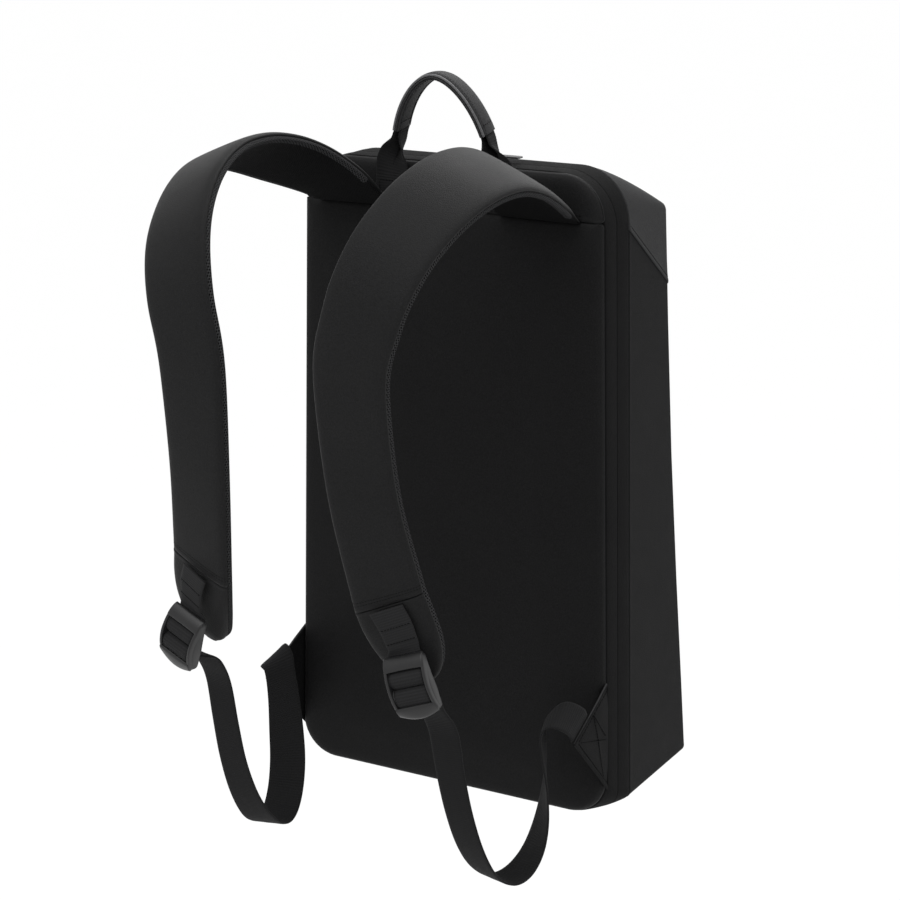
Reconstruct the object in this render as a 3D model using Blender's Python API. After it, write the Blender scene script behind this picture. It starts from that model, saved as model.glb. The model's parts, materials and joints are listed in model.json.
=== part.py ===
"""Laptop backpack: a padded back panel and yoke, a zipped gusset, a front
shell, two padded shoulder straps with ladder locks and webbing, and a carry
handle.

Seen from the strap side +X is to the right, +Y is towards the front of the
bag and +Z is up. The origin lies under the top of the carry handle, where a
hook would hold it. Tables are in millimetres, objects in metres.
"""

import math

import bmesh
import bpy
import numpy as np
from mathutils import Vector

MM = 0.001
GAP = 0.3  # between neighbouring pieces

# ---------------------------------------------------------------- bag body
TOP_Z, BASE_Z = -60.1, -523.8
HALF_TOP, HALF_BASE = 117.5, 128.5  # half widths at the top and at the base
SEAM_Y = 17.8  # panel seam
ZIP_Y = 35.9  # middle of the zip
SHELL_Y = 55.8  # seam between gusset and front shell
CORNER_R = 37.0
# Radius of the two base corners at each distance from the strap side.
BASE_CORNERS = (
    # y, radius
    (17.8, 29.0),
    (35.9, 14.0),
    (55.8, 5.0),
)
YOKE_Z = -91.7  # seam between yoke and back panel
GUSSET_WALL = 2.4
SHELL_WALL = 2.6
FRONT_CORNER_R = 5.0
FRONT_TOP_Z = -92.8  # the top slopes down to this front edge

# Front edge seen from the side: height, distance from the strap side.
FRONT_EDGE = (
    # z, y
    (-92.8, 119.9),
    (-180.0, 124.6),
    (-279.4, 131.4),
    (-380.0, 141.6),
    (-470.0, 152.0),
    (-523.8, 157.9),
)
# Diagonal seam between upper and lower shell, seen from the side.
SEAM_REAR = (55.8, -102.1)  # y, z at the gusset
SEAM_FRONT = (122.8, -151.1)  # y, z at the front edge

# Padding of a panel: how far in from its seam, how far it stands proud.
BACK_PAD = (
    # inset, proud
    (0.0, 0.2),
    (0.5, 2.4),
    (1.8, 4.8),
    (4.2, 6.9),
    (8.5, 8.3),
    (20.0, 9.2),
    (48.0, 9.9),
    (84.0, 10.3),
)
YOKE_PAD = (
    # inset, proud
    (0.0, 0.2),
    (0.5, 1.8),
    (1.8, 3.6),
    (4.2, 5.0),
    (8.5, 5.8),
    (13.0, 6.1),
)

# ------------------------------------------------------------------ straps
# Right strap, from the yoke seam to the seam of its end piece: its inner and
# outer edge at mid thickness, and the share of its full thickness.
STRAP_ROWS = (
    # along, inner x, y, z, outer x, y, z, thickness
    (-0.03, 41.6, 13.2, -91.7, 103.6, 13.2, -91.7, 0.22),
    (0.00, 42.2, 7.0, -89.4, 104.2, 8.3, -90.3, 0.62),
    (0.07, 47.0, -13.6, -69.3, 106.0, -3.9, -83.9, 1.0),
    (0.15, 53.3, -30.1, -55.4, 110.8, -22.7, -77.1, 1.0),
    (0.25, 59.7, -50.7, -43.1, 117.4, -48.2, -68.5, 1.0),
    (0.35, 64.6, -75.9, -34.5, 122.3, -77.3, -58.9, 1.0),
    (0.45, 67.0, -106.8, -30.4, 122.7, -108.7, -52.8, 1.0),
    (0.55, 65.7, -141.8, -33.6, 118.2, -141.6, -57.1, 1.0),
    (0.65, 59.8, -176.6, -49.1, 110.6, -173.9, -72.6, 1.0),
    (0.75, 49.9, -203.8, -78.5, 101.7, -199.6, -97.7, 1.0),
    (0.83, 41.0, -214.6, -113.8, 93.3, -210.3, -126.4, 1.0),
    (0.91, 33.6, -213.8, -169.1, 85.1, -210.0, -172.2, 1.0),
    (0.955, 38.3, -206.3, -240.8, 87.2, -200.3, -233.7, 1.0),
    (1.00, 50.1, -192.6, -314.6, 95.3, -185.1, -298.8, 1.0),
)
# Its rounded end, on from there.
STRAP_END_ROWS = (
    # along, inner x, y, z, outer x, y, z, thickness
    (1.00, 50.1, -192.6, -314.6, 95.3, -185.1, -298.8, 1.0),
    (1.20, 54.6, -187.1, -328.0, 98.6, -179.6, -317.3, 1.0),
    (1.45, 61.7, -177.7, -343.9, 100.6, -171.2, -336.5, 1.0),
    (1.65, 68.5, -169.0, -355.2, 100.6, -163.9, -350.2, 1.0),
    (1.80, 74.2, -162.9, -361.3, 98.8, -159.2, -358.3, 0.94),
    (1.90, 81.0, -159.2, -364.6, 94.8, -157.3, -363.4, 0.7),
)
# Sections: share of the half width, millimetres off the middle of the strap.
PAD_SECTION = (
    # across, out
    (-0.955, -0.9),
    (-1.0, 0.3),
    (-0.98, 1.9),
    (-0.905, 3.3),
    (-0.74, 4.3),
    (-0.38, 4.8),
    (0.0, 4.9),
    (0.38, 4.8),
    (0.74, 4.3),
    (0.905, 3.3),
    (0.98, 1.9),
    (1.0, 0.3),
    (0.955, -0.9),
)
MESH_SECTION = (
    # across, out
    (-0.955, -1.2),
    (-0.975, -2.3),
    (-0.91, -3.4),
    (-0.5, -4.0),
    (0.5, -4.0),
    (0.91, -3.4),
    (0.975, -2.3),
    (0.955, -1.2),
)
END_STATIONS = 9
# A table is laid along a straight line in "along"; the long lower part of a
# strap takes more stations than its share of that scale.
STRAP_STEPS = (
    # along from, along to, stations
    (-0.03, 0.07, 5),
    (0.07, 0.91, 19),
    (0.91, 1.0, 7),
)

# ----------------------------------------------------------------- webbing
WEB_THICK = 1.5
# Right hanging webbing from the ladder lock down and up to the corner tab:
# its inner and outer edge.
LOOP_ROWS = (
    # along, inner x, y, z, outer x, y, z
    (-0.145, 80.8, -187.5, -371.2, 100.2, -181.9, -364.5),
    (-0.11, 80.2, -179.0, -374.6, 100.4, -174.8, -369.6),
    (-0.05, 77.6, -167.6, -378.6, 98.4, -168.4, -376.6),
    (0.00, 76.2, -162.8, -385.0, 97.4, -163.6, -383.4),
    (0.07, 78.1, -151.6, -403.8, 99.9, -150.5, -402.5),
    (0.14, 79.0, -142.9, -436.5, 100.8, -142.7, -435.8),
    (0.21, 80.0, -132.8, -468.7, 102.2, -133.7, -468.2),
    (0.28, 80.5, -118.4, -498.8, 103.8, -120.8, -499.4),
    (0.35, 81.1, -100.2, -522.7, 105.6, -104.1, -524.6),
    (0.42, 83.3, -80.5, -537.4, 108.6, -85.5, -538.1),
    (0.49, 87.6, -60.6, -540.1, 112.4, -68.3, -537.9),
    (0.56, 92.6, -43.2, -529.8, 115.3, -55.9, -525.8),
    (0.63, 97.0, -32.2, -507.9, 116.4, -50.4, -506.0),
    (0.70, 101.1, -28.7, -480.0, 115.8, -51.2, -481.4),
    (0.77, 103.9, -30.1, -452.6, 113.3, -55.2, -456.1),
    (0.83, 105.2, -32.4, -433.1, 112.8, -57.6, -438.0),
    (0.88, 106.6, -33.2, -421.2, 115.2, -57.6, -429.5),
    (0.92, 110.2, -31.6, -415.0, 119.4, -54.6, -426.7),
    (0.96, 118.0, -24.6, -415.6, 124.6, -47.2, -430.6),
    (0.985, 126.6, -15.4, -427.0, 128.0, -39.0, -440.6),
    (1.00, 128.4, -11.8, -434.4, 128.8, -36.0, -446.7),
)
# Webbing on the strap end, from the seam down through the ladder lock.
LOCK_WEB_ROWS = (
    # along, inner x, y, z, outer x, y, z
    (0.0, 62.9, -199.9, -310.0, 81.8, -194.6, -301.9),
    (0.4, 67.0, -195.6, -324.2, 85.9, -190.2, -316.1),
    (0.75, 71.2, -192.6, -337.0, 90.3, -187.2, -329.4),
)
# Ladder lock of the right strap: its own axes across, down and out.
LOCK_TOP = Vector((82.3, -191.0, -338.8))
LOCK_ACROSS = Vector((24.9, 7.1, 8.9)).normalized()
LOCK_DOWN_AIM = Vector((12.4, 0.1, -37.4))
LOCK_HALF, LOCK_RAIL = 13.9, 2.9
LOCK_ROWS = (
    # down, out (front face), thickness of the rail, of the bars
    (0.0, 0.2, 3.0, 1.6),
    (2.6, 1.7, 5.0, 2.4),
    (7.0, 2.2, 6.4, 2.4),
    (13.0, 2.1, 7.4, 0.0),
    (19.0, 1.7, 8.2, 0.0),
    (25.0, 1.2, 8.6, 0.0),
    (31.0, 1.6, 8.0, 2.4),
    (36.5, 0.6, 6.0, 2.4),
    (40.0, -1.8, 3.0, 2.0),
)
LOCK_BAR = (19.0, -4.7, 1.4)  # down, out, radius of the middle bar

# ------------------------------------------------------------- corner tabs
TAB_THICK = 2.4
TAB_TOP, TAB_TIP, TAB_FOOT = (17.2, -420.8), (-36.4, -447.8), (17.2, -501.8)

# ------------------------------------------------------------------ handle
GRIP_HALF_X, GRIP_RISE, GRIP_POWER = 38.1, 65.7, 1.25
GRIP_CENTRE_Z = -63.2
GRIP_END_ANGLE = 0.3895
GRIP_LEAN = 0.2092  # the arch leans back towards the bag by this share
GRIP_WIDE, GRIP_THICK = 14.6, 5.0
HANDLE_WEB_HALF = 12.6
# Right leg of the handle: fold line, how far its halves are opened out.
LEG_ROWS = (
    # x, y, z of the fold, opening in degrees
    (34.4, 14.8, -37.9, 5.0),
    (36.2, 15.0, -45.0, 12.0),
    (38.0, 14.6, -50.0, 27.0),
    (40.4, 13.6, -56.0, 50.0),
    (42.0, 12.0, -61.5, 70.0),
    (43.0, 10.9, -67.0, 84.0),
    (43.4, 10.4, -73.0, 90.0),
    (43.5, 10.3, -80.0, 90.0),
    (43.5, 10.8, -86.6, 90.0),
)

# ------------------------------------------------------------ zip hardware
SLIDER_X = 14.0
SLIDER_BASE_Z = -58.6
PULL_AXIS_X, PULL_AXIS_Z = 15.8, -54.9
PULL_LENGTH, PULL_WIDE, PULL_THICK = 29.8, 7.0, 1.3

# --------------------------------------------------------------- materials
FABRIC = (0.016, 0.016, 0.017)
LINING = (0.010, 0.010, 0.011)
WEBBING = (0.018, 0.018, 0.019)
METAL = (0.10, 0.10, 0.105)

scene = bpy.context.scene
for old in list(bpy.data.objects):
    bpy.data.objects.remove(old, do_unlink=True)


def material(name, colour, roughness, metallic=0.0):
    mat = bpy.data.materials.new(name)
    mat.use_nodes = True
    shader = mat.node_tree.nodes["Principled BSDF"]
    shader.inputs["Base Color"].default_value = (*colour, 1.0)
    shader.inputs["Roughness"].default_value = roughness
    shader.inputs["Metallic"].default_value = metallic
    mat.diffuse_color = (*colour, 1.0)
    return mat


MATERIALS = {
    "panel_fabric": material("panel_fabric", FABRIC, 0.62),
    "yoke_fabric": material("yoke_fabric", FABRIC, 0.62),
    "gusset_fabric": material("gusset_fabric", FABRIC, 0.6),
    "shell_fabric": material("shell_fabric", FABRIC, 0.6),
    "zip_coil": material("zip_coil", LINING, 0.5),
    "strap_fabric": material("strap_fabric", (0.020, 0.020, 0.021), 0.58),
    "spacer_mesh": material("spacer_mesh", (0.013, 0.013, 0.014), 0.85),
    "webbing": material("webbing", WEBBING, 0.7),
    "lock_metal": material("lock_metal", METAL, 0.38, 0.7),
    "tab_fabric": material("tab_fabric", FABRIC, 0.6),
    "grip_fabric": material("grip_fabric", (0.020, 0.020, 0.021), 0.55),
    "slider_metal": material("slider_metal", METAL, 0.4, 0.8),
}


def add_object(name, bm, mat, origin=(0.0, 0.0, 0.0)):
    """Puts a mesh given in millimetres into the scene, with its origin there."""
    bmesh.ops.recalc_face_normals(bm, faces=bm.faces)
    if bm.calc_volume(signed=True) < 0:
        bmesh.ops.reverse_faces(bm, faces=bm.faces)
    at = Vector(origin)
    for vert in bm.verts:
        vert.co = (vert.co - at) * MM
    mesh = bpy.data.meshes.new(name)
    bm.to_mesh(mesh)
    bm.free()
    mesh.materials.append(MATERIALS[mat])
    obj = bpy.data.objects.new(name, mesh)
    obj.location = at * MM
    scene.collection.objects.link(obj)
    return obj


def loft(rings, around=False, capped=True):
    """A mesh through rings that have the same number of points. With around
    the last ring joins the first."""
    bm = bmesh.new()
    rows = [[bm.verts.new(p) for p in ring] for ring in rings]
    count = len(rows[0])
    pairs = list(zip(rows, rows[1:]))
    if around:
        pairs.append((rows[-1], rows[0]))
    for near, far in pairs:
        for i in range(count):
            j = (i + 1) % count
            bm.faces.new((near[i], near[j], far[j], far[i]))
    if capped and not around:
        bm.faces.new(rows[0])
        bm.faces.new(rows[-1])
    return bm


def mirrored(points_rows):
    return [[Vector((-p[0], p[1], p[2])) for p in row] for row in points_rows]


def half_width(z):
    share = (TOP_Z - z) / (TOP_Z - BASE_Z)
    return HALF_TOP + (HALF_BASE - HALF_TOP) * share


def outline(top, base, top_r, base_r, inset=0.0, arc=6, sides=6, ends=4):
    """The bag's rounded outline between two heights, as (x, z) pairs, from
    the right end of the top edge round clockwise as seen from the straps."""
    top, base = top - inset, base + inset
    top_r, base_r = max(top_r - inset, 0.8), max(base_r - inset, 0.8)
    room = min(1.0, 0.94 * (top - base) / (top_r + base_r))
    top_r, base_r = top_r * room, base_r * room
    right = []
    for i in range(arc + 1):
        a = math.radians(90.0 * (1 - i / arc))
        z = top - top_r + top_r * math.sin(a)
        right.append((half_width(z) - inset - top_r * (1 - math.cos(a)), z))
    low, high = base + base_r, top - top_r
    for i in range(1, sides):
        z = high + (low - high) * i / sides
        right.append((half_width(z) - inset, z))
    for i in range(arc + 1):
        a = math.radians(90.0 * i / arc)
        z = base + base_r - base_r * math.sin(a)
        right.append((half_width(z) - inset - base_r * (1 - math.cos(a)), z))
    left = [(-x, z) for x, z in reversed(right)]
    across = [right[-1][0] * (1 - 2 * i / ends) for i in range(1, ends)]
    back = [left[-1][0] * (1 - 2 * i / ends) for i in range(1, ends)]
    return (
        right
        + [(x, right[-1][1]) for x in across]
        + left
        + [(x, left[-1][1]) for x in back]
    )


def padded_panel(top, base, top_r, base_r, pad):
    """A pillow sewn along its outline: flat behind, proud in front."""
    behind = [Vector((x, SEAM_Y - 0.15, z)) for x, z in outline(top, base, top_r, base_r)]
    rings = [behind]
    for inset, proud in pad:
        shape = outline(top, base, top_r, base_r, inset)
        rings.append([Vector((x, SEAM_Y - proud, z)) for x, z in shape])
    return loft(rings)


def base_radius(y):
    return float(np.interp(y, [r[0] for r in BASE_CORNERS], [r[1] for r in BASE_CORNERS]))


def band(y0, y1, wall, puff):
    """A wall round the whole outline between two distances from the straps."""
    outer = ((0.0, -0.2), (0.10, 0.45), (0.5, 1.0), (0.90, 0.45), (1.0, -0.2))
    rings = []
    profile = [(y0 + (y1 - y0) * s, -rise * puff) for s, rise in outer]
    profile += [(y1, wall), (y0, wall)]
    shapes = [
        outline(TOP_Z, BASE_Z, CORNER_R, base_radius(y), max(i, 0.0)) for y, i in profile
    ]
    centre_z = (TOP_Z + BASE_Z) / 2
    for k in range(len(shapes[0])):
        ring = []
        for (y, inset), shape in zip(profile, shapes):
            x, z = shape[k]
            if inset < 0.0:
                # stands proud of the outline: move straight out from it
                before, after = shape[k - 1], shape[(k + 1) % len(shape)]
                along = Vector((after[0] - before[0], after[1] - before[1])).normalized()
                out = Vector((-along.y, along.x))
                if out.dot(Vector((x, z - centre_z))) < 0:
                    out = -out
                x, z = x - out.x * inset, z - out.y * inset
            ring.append(Vector((x, y, z)))
        rings.append(ring)
    return loft(rings, around=True)


def front_edge_y(z):
    table = sorted(FRONT_EDGE)
    return float(np.interp(z, [r[0] for r in table], [r[1] for r in table]))


def shell_ring(share, inset):
    """One ring of the front shell: share 0 at the gusset, 1 at the front edge."""
    top = TOP_Z + (FRONT_TOP_Z - TOP_Z) * share ** 1.15
    radius = CORNER_R + (FRONT_CORNER_R - CORNER_R) * min(1.0, share * 1.02) ** 0.8
    ring = []
    for x, z in outline(top, BASE_Z, radius, base_radius(SHELL_Y), inset):
        y = SHELL_Y + GAP / 2 + (front_edge_y(z) - SHELL_Y - inset) * share
        ring.append(Vector((x, y, z)))
    return ring


def front_face_ring(inset, rise, wall):
    """A ring on the front face, some way in from its edge."""
    ring = []
    for x, z in outline(FRONT_TOP_Z, BASE_Z, FRONT_CORNER_R, FRONT_CORNER_R, inset + wall):
        ring.append(Vector((x, front_edge_y(z) + rise - wall, z)))
    return ring


def shell_mesh():
    shares = (0.0, 0.25, 0.5, 0.75, 1.0)
    face = ((1.2, 0.9), (5.0, 1.8), (24.0, 3.2), (70.0, 4.2))
    inside = [front_face_ring(i, r, SHELL_WALL) for i, r in reversed(face[2:])]
    inside += [shell_ring(s, SHELL_WALL) for s in reversed(shares)]
    outside = [shell_ring(s, 0.0) for s in shares]
    outside += [front_face_ring(i, r, 0.0) for i, r in face]
    return loft(inside + outside)


def cut(bm, point, normal, keep_above):
    """Keeps one side of a plane and closes the cut."""
    made = bmesh.ops.bisect_plane(
        bm,
        geom=bm.verts[:] + bm.edges[:] + bm.faces[:],
        plane_co=point,
        plane_no=normal,
        clear_inner=keep_above,
        clear_outer=not keep_above,
    )
    edges = [e for e in made["geom_cut"] if isinstance(e, bmesh.types.BMEdge)]
    bmesh.ops.contextual_create(bm, geom=edges)


def curve_rows(rows, alongs):
    """Rows of numbers read off a smooth curve through a table, whose first
    column is the distance along it."""
    data = np.array(rows, float)
    t, values = data[:, 0], data[:, 1:]
    slope = np.zeros_like(values)
    step = np.diff(t)[:, None]
    chord = np.diff(values, axis=0) / step
    slope[1:-1] = (chord[:-1] * step[1:] + chord[1:] * step[:-1]) / (step[1:] + step[:-1])
    slope[0], slope[-1] = chord[0], chord[-1]
    out = []
    for a in alongs:
        k = int(np.clip(np.searchsorted(t, a) - 1, 0, len(t) - 2))
        h = t[k + 1] - t[k]
        s = (a - t[k]) / h
        out.append(
            values[k] * (2 * s**3 - 3 * s**2 + 1)
            + slope[k] * h * (s**3 - 2 * s**2 + s)
            + values[k + 1] * (-2 * s**3 + 3 * s**2)
            + slope[k + 1] * h * (s**3 - s**2)
        )
    return out


def frames(rows):
    """(middle, across, out, half width, thickness) at each row of two edges."""
    inner = [Vector(r[0:3]) for r in rows]
    outer = [Vector(r[3:6]) for r in rows]
    middle = [(a + b) / 2 for a, b in zip(inner, outer)]
    found = []
    for i, (a, b) in enumerate(zip(inner, outer)):
        along = middle[min(i + 1, len(rows) - 1)] - middle[max(i - 1, 0)]
        across = (b - a).normalized()
        out = along.cross(across).normalized()
        share = rows[i][6] if len(rows[i]) > 6 else 1.0
        found.append((middle[i], across, out, (b - a).length / 2, share))
    return found


def section_rings(found, section, thin=1.0):
    rings = []
    for middle, across, out, half, share in found:
        rings.append(
            [middle + across * (half * a) + out * (o * share * thin) for a, o in section]
        )
    return rings


def steps(table):
    """Distances along a strap, with the number of stations in each stretch."""
    found = [table[0][0]]
    for low, high, count in table:
        found += [low + (high - low) * (i + 1) / count for i in range(count)]
    return found


def ribbon_rings(rows, thick):
    rings = []
    for middle, across, out, half, _ in frames(rows):
        rings.append(
            [
                middle - across * half - out * thick / 2,
                middle - across * half + out * thick / 2,
                middle + across * half + out * thick / 2,
                middle + across * half - out * thick / 2,
            ]
        )
    return rings


def both_sides(name, rings, mat, around=False):
    """The right piece and its mirror image on the left."""
    add_object(name + "_right", loft(rings, around), mat)
    add_object(name + "_left", loft(mirrored(rings), around), mat)


# ------------------------------------------------------------------- body
add_object(
    "back_panel",
    padded_panel(YOKE_Z - GAP / 2, BASE_Z, 3.0, base_radius(SEAM_Y), BACK_PAD),
    "panel_fabric",
)
add_object(
    "yoke_panel",
    padded_panel(TOP_Z, YOKE_Z + GAP / 2, CORNER_R * 0.8, 2.0, YOKE_PAD),
    "yoke_fabric",
)
add_object(
    "gusset_rear", band(SEAM_Y + GAP / 2, ZIP_Y - 0.8, GUSSET_WALL, 0.9), "gusset_fabric"
)
add_object(
    "gusset_front", band(ZIP_Y + 0.8, SHELL_Y - GAP / 2, GUSSET_WALL, 0.9), "gusset_fabric"
)
zip_profile = ((ZIP_Y - 0.5, 0.9), (ZIP_Y + 0.5, 0.9), (ZIP_Y + 0.5, 2.3), (ZIP_Y - 0.5, 2.3))
zip_shapes = [
    outline(TOP_Z, BASE_Z, CORNER_R, base_radius(y), inset) for y, inset in zip_profile
]
zip_rings = [
    [Vector((shape[k][0], y, shape[k][1])) for (y, _), shape in zip(zip_profile, zip_shapes)]
    for k in range(len(zip_shapes[0]))
]
add_object("zip_chain", loft(zip_rings, around=True), "zip_coil")

seam_run = Vector((0.0, SEAM_FRONT[0] - SEAM_REAR[0], SEAM_FRONT[1] - SEAM_REAR[1]))
seam_up = Vector((0.0, -seam_run.z, seam_run.y)).normalized()
seam_at = Vector((0.0, SEAM_REAR[0], SEAM_REAR[1]))
upper = shell_mesh()
bmesh.ops.recalc_face_normals(upper, faces=upper.faces)
lower = upper.copy()
cut(upper, seam_at + seam_up * (GAP / 2), seam_up, True)
cut(lower, seam_at - seam_up * (GAP / 2), seam_up, False)
add_object("front_shell_upper", upper, "shell_fabric")
add_object("front_shell_lower", lower, "shell_fabric")

# ----------------------------------------------------------------- straps
strap_frames = frames(curve_rows(STRAP_ROWS, steps(STRAP_STEPS)))
end_frames = frames(
    curve_rows(
        STRAP_END_ROWS, [1.0 + 0.9 * i / (END_STATIONS - 1) for i in range(END_STATIONS)]
    )
)
end_frames[0] = strap_frames[-1]
end_pad = list(end_frames)
first = end_pad[0]
to_next = (end_pad[1][0] - first[0]).normalized()
end_pad[0] = (first[0] + to_next * (GAP * 2), *first[1:])
both_sides("strap_pad", section_rings(strap_frames, PAD_SECTION), "strap_fabric")
both_sides("strap_end", section_rings(end_pad, PAD_SECTION, 0.93), "strap_fabric")
both_sides(
    "strap_mesh", section_rings(strap_frames + end_frames[1:], MESH_SECTION), "spacer_mesh"
)

# ---------------------------------------------------- ladder locks, webbing
lock_down = LOCK_DOWN_AIM - LOCK_ACROSS * LOCK_DOWN_AIM.dot(LOCK_ACROSS)
lock_down.normalize()
lock_out = lock_down.cross(LOCK_ACROSS).normalized()


def at_lock(across, down, out, side=1.0):
    p = LOCK_TOP + LOCK_ACROSS * across + lock_down * down + lock_out * out
    return Vector((p.x * side, p.y, p.z))


def lock_mesh(side):
    """Two curved rails joined by a top bar and a bottom lip, then a round
    middle bar joined on."""
    columns = (-LOCK_HALF, -(LOCK_HALF - LOCK_RAIL), LOCK_HALF - LOCK_RAIL, LOCK_HALF)
    bm = bmesh.new()
    front, back = {}, {}
    for r, (down, out, rail, bar) in enumerate(LOCK_ROWS):
        for c, across in enumerate(columns):
            deep = bar if bar and c in (1, 2) else rail
            front[r, c] = bm.verts.new(at_lock(across, down, out, side))
            back[r, c] = bm.verts.new(at_lock(across, down, out - deep, side))
    last = len(LOCK_ROWS) - 1

    def solid(r, c):
        if not (0 <= r < last and 0 <= c < 3):
            return False
        return c != 1 or (LOCK_ROWS[r][3] > 0 and LOCK_ROWS[r + 1][3] > 0)

    for r in range(last):
        for c in range(3):
            if not solid(r, c):
                continue
            bm.faces.new((front[r, c], front[r, c + 1], front[r + 1, c + 1], front[r + 1, c]))
            bm.faces.new((back[r, c], back[r + 1, c], back[r + 1, c + 1], back[r, c + 1]))
            edges = (
                ((r, c), (r, c + 1), solid(r - 1, c)),
                ((r + 1, c + 1), (r + 1, c), solid(r + 1, c)),
                ((r + 1, c), (r, c), solid(r, c - 1)),
                ((r, c + 1), (r + 1, c + 1), solid(r, c + 1)),
            )
            for a, b, joined in edges:
                if not joined:
                    bm.faces.new((front[a], back[a], back[b], front[b]))
    return bm


def rod(start, end, radius, count=10):
    axis = (end - start).normalized()
    side = axis.orthogonal().normalized()
    other = axis.cross(side)
    rings = []
    for at in (start, end):
        rings.append(
            [
                at
                + side * (radius * math.cos(2 * math.pi * i / count))
                + other * (radius * math.sin(2 * math.pi * i / count))
                for i in range(count)
            ]
        )
    return loft(rings)


def helper(name, bm):
    """A hidden solid that a Boolean reads."""
    obj = add_object(name, bm, "lock_metal")
    obj.hide_render = True
    obj.display_type = "WIRE"
    return obj


def boolean(obj, other, operation):
    step = obj.modifiers.new(other.name, "BOOLEAN")
    step.object = other
    step.operation = operation
    step.solver = "EXACT"
    return step


for side_name, side in (("right", 1.0), ("left", -1.0)):
    lock = add_object("ladder_lock_" + side_name, lock_mesh(side), "lock_metal")
    down, out, radius = LOCK_BAR
    reach = LOCK_HALF - LOCK_RAIL * 0.5
    bar = helper(
        "lock_bar_" + side_name,
        rod(at_lock(-reach, down, out, side), at_lock(reach, down, out, side), radius),
    )
    boolean(lock, bar, "UNION")

web_half = LOCK_HALF - LOCK_RAIL - 0.35
lock_web = curve_rows(LOCK_WEB_ROWS, [0.0, 0.2, 0.4, 0.58, 0.75])
# Under the top bar, up into the window and down to the middle bar.
LOCK_WEB_PATH = (
    # down, out
    (-2.0, -3.0),
    (3.0, -3.1),
    (7.0, -2.5),
    (9.5, -1.5),
    (12.0, -0.5),
    (14.5, -0.2),
    (17.0, -0.9),
    (18.4, -2.0),
)
for down, out in LOCK_WEB_PATH:
    a, b = at_lock(-web_half, down, out), at_lock(web_half, down, out)
    lock_web.append(np.array([*a, *b]))
both_sides("lock_web", ribbon_rings(lock_web, WEB_THICK), "webbing")

# Over the middle bar, through the window and down behind the lip.
LOOP_LOCK_PATH = (
    # down, out
    (20.0, -2.0),
    (21.6, -0.8),
    (24.5, -0.3),
    (27.2, -1.0),
    (29.0, -3.0),
)
loop_path = []
for down, out in LOOP_LOCK_PATH:
    a, b = at_lock(-web_half, down, out), at_lock(web_half, down, out)
    loop_path.append(np.array([*a, *b]))
loop_alongs = [-0.145 + 0.145 * i / 6 for i in range(6)] + [i / 30 for i in range(25)]
loop_alongs += [0.82, 0.84, 0.86, 0.88, 0.90, 0.92, 0.94, 0.96, 0.975, 0.99, 1.0]
loop_path += curve_rows(LOOP_ROWS, loop_alongs)
both_sides("webbing_loop", ribbon_rings(loop_path, WEB_THICK), "webbing")

# ------------------------------------------------------------ corner tabs
tab_rings = []
for y, z in (TAB_TOP, TAB_TIP, TAB_FOOT):
    tab_rings.append([Vector((half_width(z) + GAP + k, y, z)) for k in (0.0, TAB_THICK)])
tab_sides = [[ring[k] for ring in tab_rings] for k in (0, 1)]
both_sides("corner_tab", tab_sides, "tab_fabric")

# ----------------------------------------------------------------- handle
grip_rings = []
grip_ways = []
count = 29
for i in range(count):
    a = GRIP_END_ANGLE + (math.pi - 2 * GRIP_END_ANGLE) * i / (count - 1)

    def grip_point(angle):
        c = math.cos(angle)
        x = GRIP_HALF_X * math.copysign(abs(c) ** GRIP_POWER, c)
        z = GRIP_CENTRE_Z + GRIP_RISE * math.sin(angle)
        apex = GRIP_CENTRE_Z + GRIP_RISE
        return Vector((x, GRIP_LEAN * (apex - z), z))

    at = grip_point(a)
    along = (grip_point(a + 0.01) - grip_point(a - 0.01)).normalized()
    grip_ways.append(along)
    wide = Vector((0.0, 1.0, 0.0))
    out = along.cross(wide).normalized()
    if out.dot(at - Vector((0, 0, GRIP_CENTRE_Z))) < 0:
        out = -out
    wide = out.cross(along).normalized()
    section = (
        # across, out
        (-1.0, -0.45),
        (-1.0, 0.45),
        (-0.9, 0.85),
        (-0.5, 1.0),
        (0.5, 1.0),
        (0.9, 0.85),
        (1.0, 0.45),
        (1.0, -0.45),
        (0.9, -0.85),
        (-0.9, -0.85),
    )
    grip_rings.append(
        [at + wide * (u * GRIP_WIDE / 2) + out * (o * GRIP_THICK / 2) for u, o in section]
    )
add_object("handle_grip", loft(grip_rings), "grip_fabric")


def leg_ring(x, y, z, degrees, along):
    """A webbing folded along its middle: 0 degrees folded shut, 90 flat."""
    a = math.radians(degrees)
    base = 1.15
    # from the fold each half goes towards the straps, and opens sideways
    level = Vector((0.0, -1.0, 0.0))
    level = (level - along * level.dot(along)).normalized()
    side = along.cross(level).normalized()
    if side.x < 0:
        side = -side
    outer_way = level * math.cos(a) + side * math.sin(a)
    inner_way = level * math.cos(a) - side * math.sin(a)
    fold = Vector((x, y, z))
    squeeze = base * math.cos(a) + 0.02
    corners = (
        fold + side * squeeze + outer_way * HANDLE_WEB_HALF,
        fold + side * squeeze,
        fold - side * squeeze,
        fold - side * squeeze + inner_way * HANDLE_WEB_HALF,
    )
    outer_n = (side * math.cos(a) - level * math.sin(a)).normalized()
    inner_n = (-side * math.cos(a) - level * math.sin(a)).normalized()
    outer_mid = (outer_n - level).normalized() if degrees < 89 else -level
    inner_mid = (inner_n - level).normalized() if degrees < 89 else -level
    t = WEB_THICK / 2
    normals = (outer_n, outer_mid, inner_mid, inner_n)
    far = [c + n * t for c, n in zip(corners, normals)]
    near = [c - n * t for c, n in zip(corners, normals)]
    return far + near[::-1]


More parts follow.
